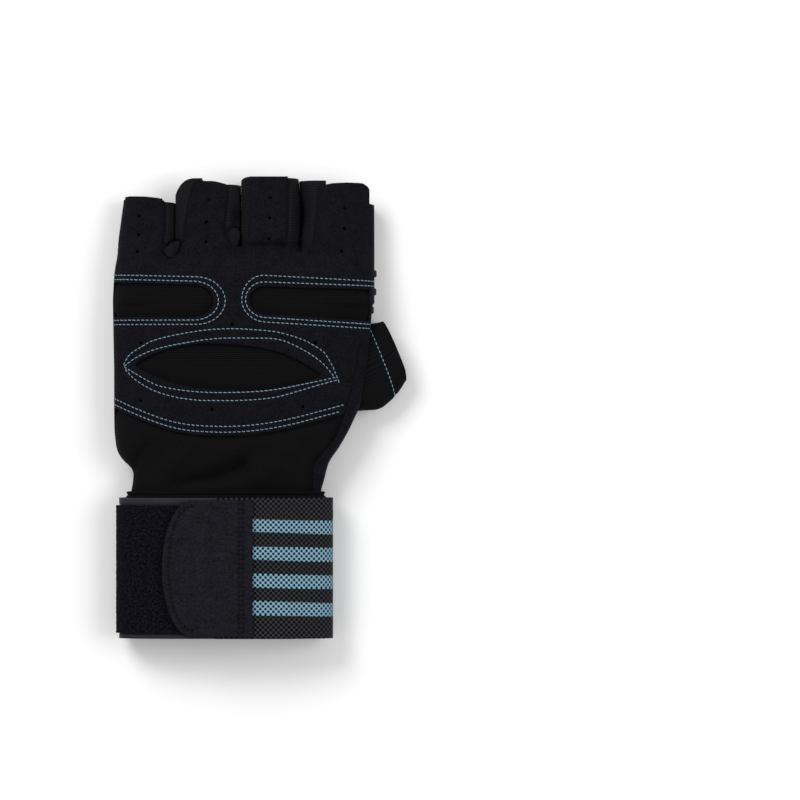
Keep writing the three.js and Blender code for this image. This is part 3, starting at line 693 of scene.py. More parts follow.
def back_grid(start, end, pitch):
    """The back's sheet as a grid of arc length and y, both at the same pitch."""
    rows = np.linspace(start, end, int((end - start) / pitch) + 1)
    cols = np.linspace(ARC[0], ARC[-1], int((ARC[-1] - ARC[0]) / pitch) + 1)
    s, y = np.meshgrid(cols, rows)
    return np.column_stack([s.ravel(), y.ravel()]), s.shape


def raise_back(points, offset, relief=0.0):
    """Points of the back's sheet in space, at an offset from the suede's outer face."""
    s, y = points.T
    x = to_plan(s, y, offset)
    z = np.maximum(glove_top(x, y, offset), np.maximum(mid_height(y), SEAM_HEIGHT))
    return np.column_stack([x, y, z + relief])


# Double rows of stitching: margins from the opening's edge in mm
SLOT_STITCHES = columns(
    "slot margin tip_margin lift",
    [(0, 1.3, 0.7, 0), (0, 3.1, 1.7, 0), (1, 1.3, 0.2, 0.7), (1, 3.1, 0, 1.9)],
)
HEM_STITCHES = (1.5, 3.9)
# The pointed opening's four rows, from its left tip to its right one, as shares across and along
LENS_STITCHES = {
    "upper_outer": [
        (0.043, 0.409), (0.068, 0.443), (0.115, 0.468), (0.16, 0.487), (0.25, 0.505),
        (0.36, 0.519), (0.46, 0.523), (0.56, 0.519), (0.64, 0.511), (0.732, 0.4875),
        (0.801, 0.455), (0.824, 0.4315), (0.847, 0.396), (0.87, 0.348),
    ],
    "upper_inner": [
        (0.045, 0.406), (0.091, 0.433), (0.16, 0.458), (0.25, 0.475), (0.39, 0.492),
        (0.526, 0.494), (0.64, 0.489), (0.732, 0.4565), (0.801, 0.418), (0.851, 0.371),
    ],
    "lower_inner": [
        (0.045, 0.406), (0.091, 0.384), (0.16, 0.353), (0.205, 0.342), (0.275, 0.3325),
        (0.366, 0.3265), (0.5, 0.327), (0.617, 0.3345), (0.732, 0.352), (0.824, 0.3675),
        (0.851, 0.373),
    ],
    "lower_outer": [
        (0.049, 0.399), (0.091, 0.365), (0.16, 0.3325), (0.24, 0.3125), (0.32, 0.303),
        (0.366, 0.3015), (0.5, 0.302), (0.617, 0.3105), (0.709, 0.33), (0.778, 0.347),
        (0.855, 0.364),
    ],
}


def seam_at(y):
    """Place across of the thumb side's seam at y."""
    return np.interp(y, seam_line[::-1, 1], seam_line[::-1, 0])


def left_part(line):
    """The part of a plan line on the little finger's side of the thumb side's seam."""
    return line[line[:, 0] < seam_at(line[:, 1]) - 1]


lens_rows = [rounded(in_plan(rows), 160) for rows in LENS_STITCHES.values()]
slot_rows = [slot_line(int(row[0]), *row[1:]) for row in zip(*SLOT_STITCHES.values())]
hem_rows = [left_part(hem_line + (0, rise)) for rise in HEM_STITCHES]
blue_rows = [dense(row, 0.25) for row in [*slot_rows, *lens_rows, *hem_rows]]

vent_turn = np.linspace(0, 2 * math.pi, 12, endpoint=False)
vent_ring = VENT * np.column_stack([np.cos(vent_turn), np.sin(vent_turn)])
vent_lines = [centre + vent_ring for centre in in_plan(VENTS)]
openings = [slot_line(0, 0), slot_line(1, 0), lens_line(0)] + [gap_edge(k) for k in range(3)]

points, shape = back_grid(along(0.16), along(0.992), HAND_STEP)
points, faces, edge = trim(
    points,
    shape,
    HAND_STEP,
    [on_sheet(line) for line in (above_hem(0), left_of_seam(0), tips_edge())],
    [on_sheet(line) for line in openings + vent_lines],
)
plan = np.column_stack([to_plan(*points.T), points[:, 1]])
furrow = np.full(len(points), 9.0)
for row in blue_rows:
    furrow = np.minimum(furrow, distance_to(plan, row[::6], False)[0])
dip = -FURROW * np.exp(-((furrow / 0.6) ** 2)) - EDGE_DIP * np.exp(-np.abs(edge) / 0.7)
back = piece(
    "back_panel_suede",
    raise_back(points, 0, dip),
    faces,
    SUEDE,
    cloth=as_points(*points.T, 0),
)
back.data.materials.append(suede)
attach(back, "root")
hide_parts("back_panel")
cloth_area(back)

# The palm panel: a second cut of the same suede that lies on the floor, comes up both sides to
# the seam and, on the thumb's side, folds over on to the back of the hand. It is open where
# the thumb stall is sewn in and cut deeper than the back between the fingers.

PALM_STEP = 1.2
PALM_CROTCH = 5.0
PALM_CLEAR = 0.35  # the panel's height over the floor, which the grip dots keep
NECK_TUCK = 7.0
THUMB_PLACE = 0.457
THUMB_LENGTH = 24.0
THUMB_WIDTH = 27.0
THUMB_HEIGHT = 14.0
THUMB_ANGLE = math.radians(23)
THUMB_CLEAR = 0.6
THUMB_KNIT = 1.4
THUMB = columns(
    "along upper lower high",
    [
        (-0.2, 0.6, 0.6, 1.1),
        (0.05, 0.63, 0.66, 1.15),
        (0.35, 0.62, 0.76, 1.1),
        (0.68, 0.56, 0.67, 1.02),
        (0.92, 0.5, 0.54, 1.0),
        (1.0, 0.49, 0.46, 0.97),
    ],
)
thumb_way = np.array([math.cos(THUMB_ANGLE), math.sin(THUMB_ANGLE)])
thumb_side = np.array([-thumb_way[1], thumb_way[0]])
thumb_corner = THUMB["lower"][-1] * THUMB_WIDTH * math.sin(THUMB_ANGLE)
thumb_hem = np.array([across(1) + THUMB_REACH - thumb_corner, along(THUMB_PLACE)])
thumb_root = thumb_hem - thumb_way * THUMB_LENGTH


def thumb_box(reach):
    """The thumb stall's section at a share of its length: left, right, low and high."""
    at = np.asarray(reach)[..., None] + np.linspace(-0.1, 0.1, 7)
    upper, lower, high = (
        np.interp(at, THUMB["along"], THUMB[n]).mean(-1) for n in ("upper", "lower", "high")
    )
    low = THUMB_CLEAR + 0 * high
    return -lower * THUMB_WIDTH, upper * THUMB_WIDTH, low, low + high * THUMB_HEIGHT


def in_thumb(x, y, z, offset):
    """True for points inside the thumb stall's form at an offset."""
    ahead = (x - thumb_root[0]) * thumb_way[0] + (y - thumb_root[1]) * thumb_way[1]
    aside = (x - thumb_root[0]) * thumb_side[0] + (y - thumb_root[1]) * thumb_side[1]
    left, right, low, high = thumb_box(ahead / THUMB_LENGTH)
    u = (aside - (left + right) / 2) / ((right - left) / 2 + offset)
    v = (z - (low + high) / 2) / ((high - low) / 2 + offset)
    return (np.abs(u) ** FINGER_ROUND + np.abs(v) ** FINGER_ROUND < 1) & (ahead > -4)


rows = np.linspace(BAND_TOP - NECK_TUCK, along(1), int((HAND_REACH + NECK_TUCK) / PALM_STEP))
left_x, right_x = side_edge(rows, -1), side_edge(rows, 1)
left_top = seam_edge(rows, -1)
seam_x = np.minimum(seam_at(rows) + LAYER_GAP, right_x - 0.4)
fine = 0.5 - 0.5 * np.cos(np.linspace(0, math.pi, 401))
# Each row as one path: down the left side, along the floor, up the right and over to the seam
strips = [
    (mix(left_top, left_x, 1 - (1 - np.linspace(0, 1, 25)[:, None]) ** 3), 1),
    (mix(left_x, right_x, fine[:, None]), -1),
    (mix(right_x, seam_x, np.linspace(0, 1, 81)[:, None] ** 3), 1),
]
path_x = np.vstack([x for x, _ in strips]).T
path_y = np.broadcast_to(rows[:, None], path_x.shape)
top_z, bottom_z = glove_top(path_x, path_y), glove_bottom(path_x, path_y)
upper = np.concatenate([np.full(len(x), side > 0) for x, side in strips])
middle = mid_height(rows)[:, None]
path_z = np.where(upper, np.maximum(top_z, middle), soft_max(bottom_z, PALM_CLEAR + 0 * bottom_z))
path_z = np.where(upper, path_z, np.minimum(path_z, middle))
steps = np.hypot(np.diff(path_x), np.diff(path_z))
path_s = np.append(np.zeros((len(rows), 1)), np.cumsum(steps, 1), 1)
count = int(path_s[:, -1].max() / PALM_STEP)
even = [np.linspace(0, s[-1], count) for s in path_s]
px = np.array([np.interp(e, s, x) for e, s, x in zip(even, path_s, path_x)])
pz = np.array([np.interp(e, s, z) for e, s, z in zip(even, path_s, path_z)])
flat = np.column_stack([px.ravel(), np.repeat(rows, count)])
plan_cuts = [gap_line(k, 0, PALM_CROTCH) for k in range(3)]
tips = dense(palm_tips(), 2.0, True)
cuts = [dense(line, 1.2, True) for line in plan_cuts]
flat, faces, _ = trim(flat, px.shape, PALM_STEP, [tips], cuts)
points = np.column_stack([flat, pz.ravel()])
opened = in_thumb(*points.T, -THUMB_KNIT) & (points[:, 0] > across(0.85))
faces = [face for face in faces if not opened[face].any()]
arc = np.array([e - s[len(fine) // 2] for e, s in zip(even, path_s)])
palm = piece(
    "palm_panel_suede",
    points,
    faces,
    SUEDE,
    flip=True,
    cloth=as_points(arc.ravel(), flat[:, 1], 0),
)
palm.data.materials.append(suede)
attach(palm, "root")
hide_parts("palm_panel")
cloth_area(palm)

# The grip dots: rows of soft silicone printed on the palm side of the suede. They keep the
# palm off the floor, and the last of each row stands out at the hand's thumb-side edge.

DOT_PITCH = 7.6
DOT_RADIUS = 1.5
DOT_HEIGHT = 0.45
DOT_SIDES = 16
NUBS = (0.695, 0.639, 0.582)  # where the dots at the edge stand, as shares along
NUB_HEIGHT = 0.75
dot_x, dot_y = np.meshgrid(
    np.arange(across(0.1), across(0.95), DOT_PITCH), np.arange(along(0.2), along(0.7), DOT_PITCH)
)
dot_x = dot_x + DOT_PITCH / 2 * (np.arange(len(dot_x)) % 2)[:, None]
dot_x, dot_y = dot_x.ravel(), dot_y.ravel()
clear = dot_x < seam_at(dot_y) - 6
clear &= ~in_thumb(dot_x, dot_y, 4 + 0 * dot_x, 5)
dot_x, dot_y = dot_x[clear], dot_y[clear]
dot_turn = np.linspace(0, 2 * math.pi, DOT_SIDES, endpoint=False)
# Rings from the rim in the suede to the pressed top, as radius and depth shares
DOT_RINGS = np.array([(1.0, -0.3), (1.0, 0.25), (0.9, 0.65), (0.7, 0.9), (0.4, 1.0)])
ring_x = DOT_RINGS[:, :1] * DOT_RADIUS * np.cos(dot_turn)
ring_y = DOT_RINGS[:, :1] * DOT_RADIUS * np.sin(dot_turn)
ring_depth = DOT_RINGS[:, 1][None, :, None]
base = np.maximum(glove_bottom(dot_x, dot_y), PALM_CLEAR)[:, None, None]
low = np.maximum(base - DOT_HEIGHT * ring_depth, 0.0)
down = as_points(dot_x[:, None, None] + ring_x, dot_y[:, None, None] + ring_y, low)
# Those that show at the edge stand on the side, facing out
nub_y = along(NUBS)[:, None, None]
nub_x, nub_z = side_edge(nub_y, 1), mid_height(nub_y) - 1.5
outward = as_points(nub_x + NUB_HEIGHT * ring_depth, nub_y + ring_x, nub_z + ring_y)


def ringed(count, rings, sides, start=0):
    """Faces of count closed tubes, each of rings times sides points, with a cap over each end."""
    index = start + np.arange(count * rings * sides).reshape(count, rings, sides)
    ahead = np.roll(index, -1, axis=2)
    quads = np.stack([index[:, :-1], ahead[:, :-1], ahead[:, 1:], index[:, 1:]], -1).reshape(-1, 4)
    caps = np.vstack([index[:, 0, ::-1], index[:, -1]])
    return quads.tolist() + caps.tolist()


faces = [f[::-1] for f in ringed(len(dot_x), len(DOT_RINGS), DOT_SIDES)]
faces += ringed(len(NUBS), len(DOT_RINGS), DOT_SIDES, len(down))
dots = piece("grip_dots", np.vstack([down, outward]), faces)
made, tree, surface = finish("silicone", 0.55, 0.35)
surface.inputs["Base Color"].default_value = linear("#131316")
dots.data.materials.append(made)
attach(dots, "root")

# The side inserts and the pointed insert: fine rib knit laid under the openings, sewn down
# round them and a little proud of the seam in the middle. Their ribs run across the hand.

KNIT = 1.0
KNIT_STEP = 0.9
SEAM_LAP = 4.0
INSERT_OFFSET = -SUEDE - LAYER_GAP
INSERT_SWELL = 0.55  # how far the knit rises in an opening, as a share of its depth
RIB_PITCH = 0.85


def knit_material(name, dark, light, axis, pitch=RIB_PITCH, depth=0.16):
    """Rib knit of spun yarn: sine ribs across one axis of the cloth, crossed by finer courses.
    Each rib wanders a little every 4 mm, and grains of a third of a millimetre are its fuzz."""
    made, tree, surface = finish(name, 0.92, 0.05, 0.01, 0.5)
    where = add(tree, "Attribute", attribute_name="cloth")["Vector"]
    wander = add(tree, "TexNoise", {"Vector": where, "Scale": 0.25})["Fac"]
    parts = add(tree, "SeparateXYZ", {0: where})
    rate = 2 * math.pi / pitch
    wave = add(tree, "Math", {0: parts[axis], 1: rate}, operation="MULTIPLY")[0]
    bent = add(tree, "Math", {0: wander, 1: 1.6, 2: wave}, operation="MULTIPLY_ADD")[0]
    rib = add(tree, "Math", {0: bent}, operation="SINE")[0]
    cross = add(tree, "Math", {0: parts[1 - axis], 1: rate / 0.8}, operation="MULTIPLY")[0]
    course = add(tree, "Math", {0: cross}, operation="SINE")[0]
    joined = add(tree, "Math", {0: course, 1: 0.35, 2: rib}, operation="MULTIPLY_ADD")[0]
    yarn = {"Vector": where, "Scale": 3.0, "Detail": 3.0, "Roughness": 0.6}
    fuzz = add(tree, "TexNoise", yarn)["Fac"]
    height = add(tree, "Math", {0: fuzz, 1: 0.9, 2: joined}, operation="MULTIPLY_ADD")[0]
    level = add(tree, "MapRange", {"Value": height, "From Min": -1.35, "From Max": 2.25})["Result"]
    coat(tree, surface, ramp(tree, height, dark, light, -0.9, 1.8), level, depth)
    return made


insert_knit = knit_material("knit_rows", "#010101", "#111113", 1)


def insert(name, line, mouth, cuts, flat):
    """A knit insert: the back's sheet at the knit's offset, trimmed to the opening and its lap."""
    low, high = line[:, 1].min() - 1, line[:, 1].max() + 1
    points, shape = back_grid(low, high, KNIT_STEP)
    outline = on_sheet(line, INSERT_OFFSET)
    holes = [on_sheet(cut, INSERT_OFFSET) for cut in cuts]
    points, faces, _ = trim(points, shape, KNIT_STEP, [outline], holes)
    plan = np.column_stack([to_plan(*points.T, INSERT_OFFSET), points[:, 1]])
    distance, _, inside = distance_to(plan, dense(mouth, 1.0, True), True)
    swell = INSERT_SWELL * ease(np.where(inside, distance, 0), 0.2, 3.5)[:, None]
    made = piece(
        name,
        mix(raise_back(points, INSERT_OFFSET), raise_back(points, 0), swell),
        faces,
        KNIT,
        cloth=as_points(*points.T, 0),
    )
    made.data.materials.append(insert_knit)
    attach(made, "root")
    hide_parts(name.removesuffix("_knit"))
    cloth_area(made)


GUSSET_LAP = 2.2
gusset_cuts = [gap_line(k, GUSSET_LAP + LAYER_GAP, PALM_CROTCH) for k in range(3)]
little, index = ((slot_line(k, SEAM_LAP), slot_line(k, 0)) for k in range(2))
insert("side_insert_little_knit", *little, gusset_cuts, (0.062, 0.024))
insert("side_insert_index_knit", *index, gusset_cuts, (0.072, 0.026))
insert("back_lens_insert_knit", lens_line(SEAM_LAP), lens_line(0), [], (0.09, 0.029))

# The heel panel: the same knit with its ribs down the hand, from under the hem to inside the
# cuff, eased in so that it bulges at the little finger's side and creases over the wrist.

heel_knit = knit_material("knit_ribs", "#010101", "#141416", 0)
points, shape = back_grid(BAND_TOP - NECK_TUCK, along(0.34), KNIT_STEP)
outline = on_sheet(left_of_seam(GUSSET_LAP), INSERT_OFFSET)
hem_cut = on_sheet(above_hem(SEAM_LAP), INSERT_OFFSET)
points, faces, _ = trim(points, shape, KNIT_STEP, [outline], [hem_cut])
x, y = to_plan(*points.T, INSERT_OFFSET), points[:, 1]
plan = np.column_stack([x, y])
hem_gap, _, _ = distance_to(plan, hem_line, False)
below = y < np.interp(x, hem_line[:, 0], hem_line[:, 1])
seam_gap = seam_at(y) - x
clear = np.minimum(np.where(below, hem_gap, 0), np.maximum(seam_gap, 0))
tucked = ease(y, BAND_TOP + 1, BAND_TOP + 5)
swell = (0.75 * ease(clear, 0.3, 5) * mix(0.6, 1.0, tucked))[:, None]
heel = piece(
    "heel_panel_knit",
    mix(raise_back(points, INSERT_OFFSET), raise_back(points, 0), swell),
    faces,
    KNIT,
    cloth=as_points(*points.T, 0),
)
heel.data.materials.append(heel_knit)
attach(heel, "root")
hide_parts("heel_panel")
cloth_area(heel)

# The gussets: three strips of the knit that line the fingers' inner sides and turn round the
# crotch between them. Each is one sheet, from under the back's suede down to under the palm's.

GUSSET_STEP = 0.5
GUSSET_KNIT = 0.6  # the knit's thickness here, where it is stretched
GUSSET_LOW = 1.8  # the lowest that a gusset's lower edge lies
GUSSET_BULGE = 1.0  # how far the knit swells past its own offset in a gap
VALLEY = 0.05  # half the free space along a fold
# How far each fold hangs down the crotch, how deep it lies under mid-height, how square the
# walls' tops are, and where the left and right walls' folds end as shares along
GUSSETS = columns(
    "hang depth square left_end right_end",
    [
        (2.5, 2.0, 3.4, 0.914, 0.938),
        (2.5, 2.0, 3.4, 0.968, 0.986),
        (3.0, 5.0, 2.0, 0.9905, 0.9855),
    ],
)
TIP_ROUND = 4.0  # how late a wall's tip falls from the suede's edge to the fold's end
# Where the folds run, as shares across by shares along
FOLD_RUNS = columns(
    "gap along across",
    [
        (0, 0.7, 0.2375), (0, 1.0, 0.2375), (1, 0.7, 0.489), (1, 1.0, 0.489),
        (2, 0.74, 0.7265), (2, 0.793, 0.7132), (2, 0.88, 0.7247), (2, 1.0, 0.7075),
    ],
)
# Turned lobes at the foot of two gaps (rise over 0) and hollows above them (under 0): centre as
# shares, half sizes in mm, turn in degrees, rise in mm
LOBES = columns(
    "gap across along half_x half_y turn rise",
    [
        (0, 0.228, 0.768, 2.5, 4.3, -40, 1.1), (1, 0.462, 0.809, 2.9, 3.6, -12, 1.1),
        (1, 0.473, 0.866, 2.1, 3.8, 0, -4.0), (2, 0.724, 0.88, 2.1, 6.0, 0, -4.0),
    ],
)
GROOVE = 2.4  # how deep the groove round a lobe is
gusset_knit = knit_material("knit_gusset", "#030304", "#202023", 0, 0.7, 0.16)


def turned_lobes(k, x, y, z, free):
    """A gusset's heights with its lobes: each a low dome inside a narrow groove, over an ellipse.
    A hollow only sinks the wall."""
    for number in np.flatnonzero(LOBES["gap"] == k):
        row = {name: values[number] for name, values in LOBES.items()}
        lean = math.radians(row["turn"])
        dx, dy = x - across(row["across"]), y - along(row["along"])
        u = (dx * math.cos(lean) + dy * math.sin(lean)) / row["half_x"]
        v = (dy * math.cos(lean) - dx * math.sin(lean)) / row["half_y"]
        v = np.where((v < 0) & (row["rise"] > 0), 0.6 * v, v)
        reach = np.hypot(u, v)
        if row["rise"] < 0:
            z = z + row["rise"] * np.exp(-(reach**2)) * ease(free, 0.5, 2)
            continue
        foot = glove_top(across(row["across"]), along(row["along"]) - row["half_y"], INSERT_OFFSET)
        dome = foot + row["rise"] * (1 - reach**2)
        groove = np.exp(-(((reach - 1.12) / 0.13) ** 2)) * ease(free, 0.2, 1.2)
        z = z - GROOVE * groove * ease(v, -0.4, 0.1)
        z = mix(z, dome, ease(-reach, -1.1, -0.85))
    return z


def gusset(name, k):
    """One gusset. v runs down the left finger's wall, round the crotch and up the right one's. At
    each v the wall is a quarter superellipse from its upper edge in to the fold and out below."""
    row = {n: values[k] for n, values in GAPS.items()}
    own = FOLD_RUNS["gap"] == k
    straight = along(row["straight"])
    tips = along(row["gusset_left"]), along(row["gusset_right"])
    left_wall = np.arange(tips[0], straight, -GUSSET_STEP)
    right_wall = np.arange(straight, tips[1], GUSSET_STEP)
    turn = np.linspace(0, math.pi, 44)[1:-1]
    y = np.concatenate([left_wall, np.full(len(turn), straight), right_wall])
    sweep = np.concatenate([0 * left_wall, turn, math.pi + 0 * right_wall])
    side = np.cos(sweep)  # 1 on the left wall, -1 on the right one
    sag = np.sin(sweep)

    def edge_at(margin, drop):
        """Plan place along the outline at each v, for a margin and a drop."""
        foot_left, foot_right = across(row["foot_left"]), across(row["foot_right"])
        tip_left, tip_right = across(row["tip_left"]), across(row["tip_right"])
        climb = np.clip((y - straight) / (along(1) - straight), 0, 1)
        left = mix(foot_left, tip_left, climb) - margin
        right = mix(foot_right, tip_right, climb) + margin
        depth = straight - along(row["floor"]) + margin + drop
        return mix(right, left, (side + 1) / 2), y - depth * sag

    tip = np.where(side > 0, *tips)
    fold_tip = along(np.where(side > 0, GUSSETS["left_end"][k], GUSSETS["right_end"][k]))
    fold_y = straight + (y - straight) * (fold_tip - straight) / (tip - straight)
    fold_y = fold_y - GUSSETS["hang"][k] * sag
    run = across(np.interp(fold_y, along(FOLD_RUNS["along"][own]), FOLD_RUNS["across"][own]))
    fold_x = run - VALLEY * side
    over = np.linspace(0, 1, 31)[:, None]
    lean = np.cos(over * math.pi / 2) ** (2 / GUSSETS["square"][k])
    rise = np.sin(over * math.pi / 2) ** (2 / GUSSETS["square"][k])
    strips = []
    for upward in (True, False):
        edge_x, edge_y = edge_at(GUSSET_LAP, 0 if upward else PALM_CROTCH)
        face = glove_top if upward else glove_bottom
        edge_z = face(edge_x, edge_y, INSERT_OFFSET)
        fold_z = mid_height(fold_y) - GUSSETS["depth"][k]
        x = edge_x + (fold_x - edge_x) * lean
        late = lean ** mix(1, TIP_ROUND, np.abs(side)) if upward else lean
        yy = edge_y + (fold_y - edge_y) * late
        if upward:
            free = np.hypot(x - edge_x, yy - edge_y) - GUSSET_LAP
            limit = glove_top(x, yy, INSERT_OFFSET) + GUSSET_BULGE * ease(free, 0.3, 2.3)
            z = fold_z + (edge_z + GUSSET_BULGE - fold_z) * rise
            z = mix(z, np.minimum(z, limit), ease(over, 0.1, 0.5))
            z = turned_lobes(k, x, yy, z, free)
            z = np.where(free < 0.3, np.minimum(z, glove_top(x, yy, INSERT_OFFSET)), z)
        else:
            z = fold_z + (edge_z - fold_z) * rise
            z = mix(z, np.maximum(z, face(x, yy, INSERT_OFFSET)), ease(over, 0.35, 0.7))
            z = np.maximum(z, GUSSET_LOW)
            z[0] = strips[0][0, :, 2]
        strips.append(np.stack([x, yy, z], -1))
    grid = np.concatenate([strips[0][::-1], strips[1][1:]])
    steps = np.linalg.norm(np.diff(grid[12], axis=0), axis=1)
    height = np.arange(len(grid))[:, None] * GUSSET_STEP
    made = piece(
        name,
        grid.reshape(-1, 3),
        grid_faces(grid.shape[:2]).tolist(),
        GUSSET_KNIT,
        cloth=as_points(np.append(0, np.cumsum(steps)), height, 0),
    )
    made.data.materials.append(gusset_knit)
    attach(made, "root")
    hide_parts(name.removesuffix("_knit"))
    cloth_area(made)


gusset("gusset_little_ring_knit", 0)
gusset("gusset_ring_middle_knit", 1)
gusset("gusset_middle_index_knit", 2)

# The thumb stall: a short sleeve of heavier knit sewn into the palm panel, its mouth hemmed
# with one row of blue stitching.

THUMB_RADIUS = 12.0  # the stall's mean radius
THUMB_ROUND = 11.0  # mm of the cloth for each radian round the stall
THUMB_HEM = 7.3  # the hem's width
THUMB_SIDES = 120
THUMB_ROWS = 44
THUMB_TUCK = 0.9  # how far the stall reaches in past the palm's face
HEM_BOW = 0.045  # how far the hem bows out on the upper face, as a share of the length
CORNER_CUT = 0.02  # how much shorter the stall is at its lower corner
thumb_turn = np.linspace(0, 2 * math.pi, THUMB_SIDES, endpoint=False)


def thumb_point(reach, turn, offset=0.0):
    """A point of the stall: a superellipse section across its axis at a share of its length."""
    left, right, low, high = thumb_box(reach)
    across_way = np.sign(np.cos(turn)) * np.abs(np.cos(turn)) ** (2 / FINGER_ROUND)
    up = np.sign(np.sin(turn)) * np.abs(np.sin(turn)) ** (2 / FINGER_ROUND)
    aside = (left + right) / 2 + ((right - left) / 2 + offset) * across_way
    z = np.maximum((low + high) / 2 + ((high - low) / 2 + offset) * up, THUMB_CLEAR)
    place = thumb_root + (reach * THUMB_LENGTH)[..., None] * thumb_way
    place = place + aside[..., None] * thumb_side
    return np.concatenate([place, z[..., None]], -1)


reach = np.linspace(-0.2, 1, 241)[:, None] + 0 * thumb_turn
tube = thumb_point(reach, thumb_turn + 0 * reach)
tx, ty, tz = np.moveaxis(tube, -1, 0)
outside = (tz > glove_top(tx, ty, -THUMB_TUCK)) | (tz < glove_bottom(tx, ty, LAYER_GAP))
outside |= tx > side_edge(ty, 1, -THUMB_TUCK)
end = len(reach) - 1
last_in = np.where(outside.all(0), 0, end - outside[::-1].argmin(0))
begin = reach[np.minimum(last_in + 1, end), 0]
hem_end = 1 + HEM_BOW * np.sin(thumb_turn) - CORNER_CUT * ease(-np.cos(thumb_turn), 0.6, 1.0)
rows = mix(begin, hem_end, np.linspace(0, 1, THUMB_ROWS)[:, None])
grid = thumb_point(rows, thumb_turn + 0 * rows)
hem_share = 1 - THUMB_HEM / THUMB_LENGTH + HEM_BOW * np.sin(thumb_turn)
pinch = 0.3 * np.exp(-(((rows - hem_share) * THUMB_LENGTH / 0.8) ** 2))
centre = grid.mean(1, keepdims=True)
grid = grid - (grid - centre) * (pinch / THUMB_RADIUS)[..., None]
stall = piece(
    "thumb_stall_knit",
    grid.reshape(-1, 3),
    grid_faces(grid.shape[:2], closed=True).tolist(),
    THUMB_KNIT,
    cloth=as_points(thumb_turn * THUMB_ROUND, rows * THUMB_LENGTH, 0),
)
thumb_knit = knit_material("knit_thumb", "#060607", "#111113", 0, 0.8, 0.06)
stall.data.materials.append(thumb_knit)
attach(stall, "root")
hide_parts("thumb_stall")
cloth_area(stall)

# The cuff: a lined sleeve of stretch knit round the wrist, inside the straps, its rim drawn in
# on to the hand.

WRIST_WIDTH = 86.0
WRIST_HEIGHT = 19.2
CUFF_THICKNESS = 1.2
CUFF_RISE = 2.6
CUFF_INSET = 1.2
CUFF_DRAW = 1.6
HEM_RELIEF = 0.4
ELASTIC = 1.8
STRAP_TAPE = 1.6
WRIST_MIDDLE = float(across(0.4317))
WRIST_LOW = max(ELASTIC, STRAP_TAPE) + LAYER_GAP
BAND_BOTTOM = BAND_TOP - BAND_WIDTH
WRIST_SIDES = 220


def wrist_point(turn, offset, draw=0.0):
    """A point round the wrist's section at an offset, drawn in on both sides: x and z."""
    half = WRIST_WIDTH / 2 - draw + offset
    up = (WRIST_HEIGHT + FLAT_SAG) / 2 + offset
    middle = (2 * WRIST_LOW + WRIST_HEIGHT - FLAT_SAG) / 2
    fall = (1 - np.abs(np.cos(turn)) ** HAND_ROUND) ** (1 / HAND_ROUND)
    z = np.maximum(middle + up * fall * np.sign(np.sin(turn)), WRIST_LOW - offset)
    return WRIST_MIDDLE + half * np.cos(turn), z


wrist_turn = np.linspace(0, 2 * math.pi, 20001)
wx, wz = wrist_point(wrist_turn, 0.0)
wrist_arc = np.append(0, np.cumsum(np.hypot(np.diff(wx), np.diff(wz))))


def turns(start, end, pitch):
    """Turns from start to end, evenly spaced along the wrist's girth at about a pitch."""
    first, last = np.interp([start, end], wrist_turn, wrist_arc)
    count = max(2, int(abs(last - first) / pitch) + 1)
    return np.interp(np.linspace(first, last, count), wrist_arc, wrist_turn)


even = np.linspace(0, wrist_arc[-1], WRIST_SIDES, endpoint=False)
turn = np.interp(even, wrist_arc, wrist_turn)
rows = np.linspace(BAND_BOTTOM + CUFF_INSET, BAND_TOP - 1, 50)
rows = np.append(rows, np.linspace(BAND_TOP - 0.8, BAND_TOP + CUFF_RISE, 18))[:, None]
draw = CUFF_DRAW * ease(rows, BAND_TOP - CUFF_RISE, BAND_TOP + CUFF_RISE)
# The rim's hem: a groove and then a ridge, over the band's top
hem_dip = -HEM_RELIEF * np.exp(-(((rows - BAND_TOP - 1.1) / 0.5) ** 2))
hem_dip = hem_dip + HEM_RELIEF * np.exp(-(((rows - BAND_TOP - 2.1) / 0.35) ** 2))
x, z = wrist_point(turn + 0 * rows, hem_dip + 0 * turn, draw)
cuff = piece(
    "cuff_knit",
    as_points(x, rows, z),
    grid_faces(x.shape, closed=True, turned=True).tolist(),
    CUFF_THICKNESS,
    cloth=as_points(np.interp(turn, wrist_turn, wrist_arc), rows, 0),
)
cuff.data.materials.append(knit_material("knit_cuff", "#030204", "#100f13", 0, 0.9, 0.12))
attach(cuff, "root")
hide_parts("cuff")
cloth_area(cuff)

# The loop strap: firm woven tape sewn to the cuff, with a bound border along both edges, round
# the wrist under the loop patch.

TAB_EDGE = 11.6
STRAP_LAP = 6.8
WEFT = 0.6  # between the tape's weft threads
TAPE_BORDER = 3.2
LOWER_BORDER = 0.7  # the lower border's width as a share of the upper one's
TAPE_GROOVE = 0.3
STRAP_OFFSET = LAYER_GAP
OVER_STRAP = STRAP_OFFSET + STRAP_TAPE + LAYER_GAP
TAB_RIGHT = WRIST_MIDDLE + TAB_EDGE
STRAP_START = TAB_RIGHT + STRAP_LAP
UNDER_TURN = 1.5 * math.pi  # where the strap and the elastic meet under the palm
MEET_GAP = 0.003  # half the gap between them, in radians
WRAP_STEP = 0.8


def turn_at(x, offset=0.0):
    """The turn round the wrist at which a layer at an offset is over x."""
    return math.acos((x - WRIST_MIDDLE) / (WRIST_WIDTH / 2 + offset))


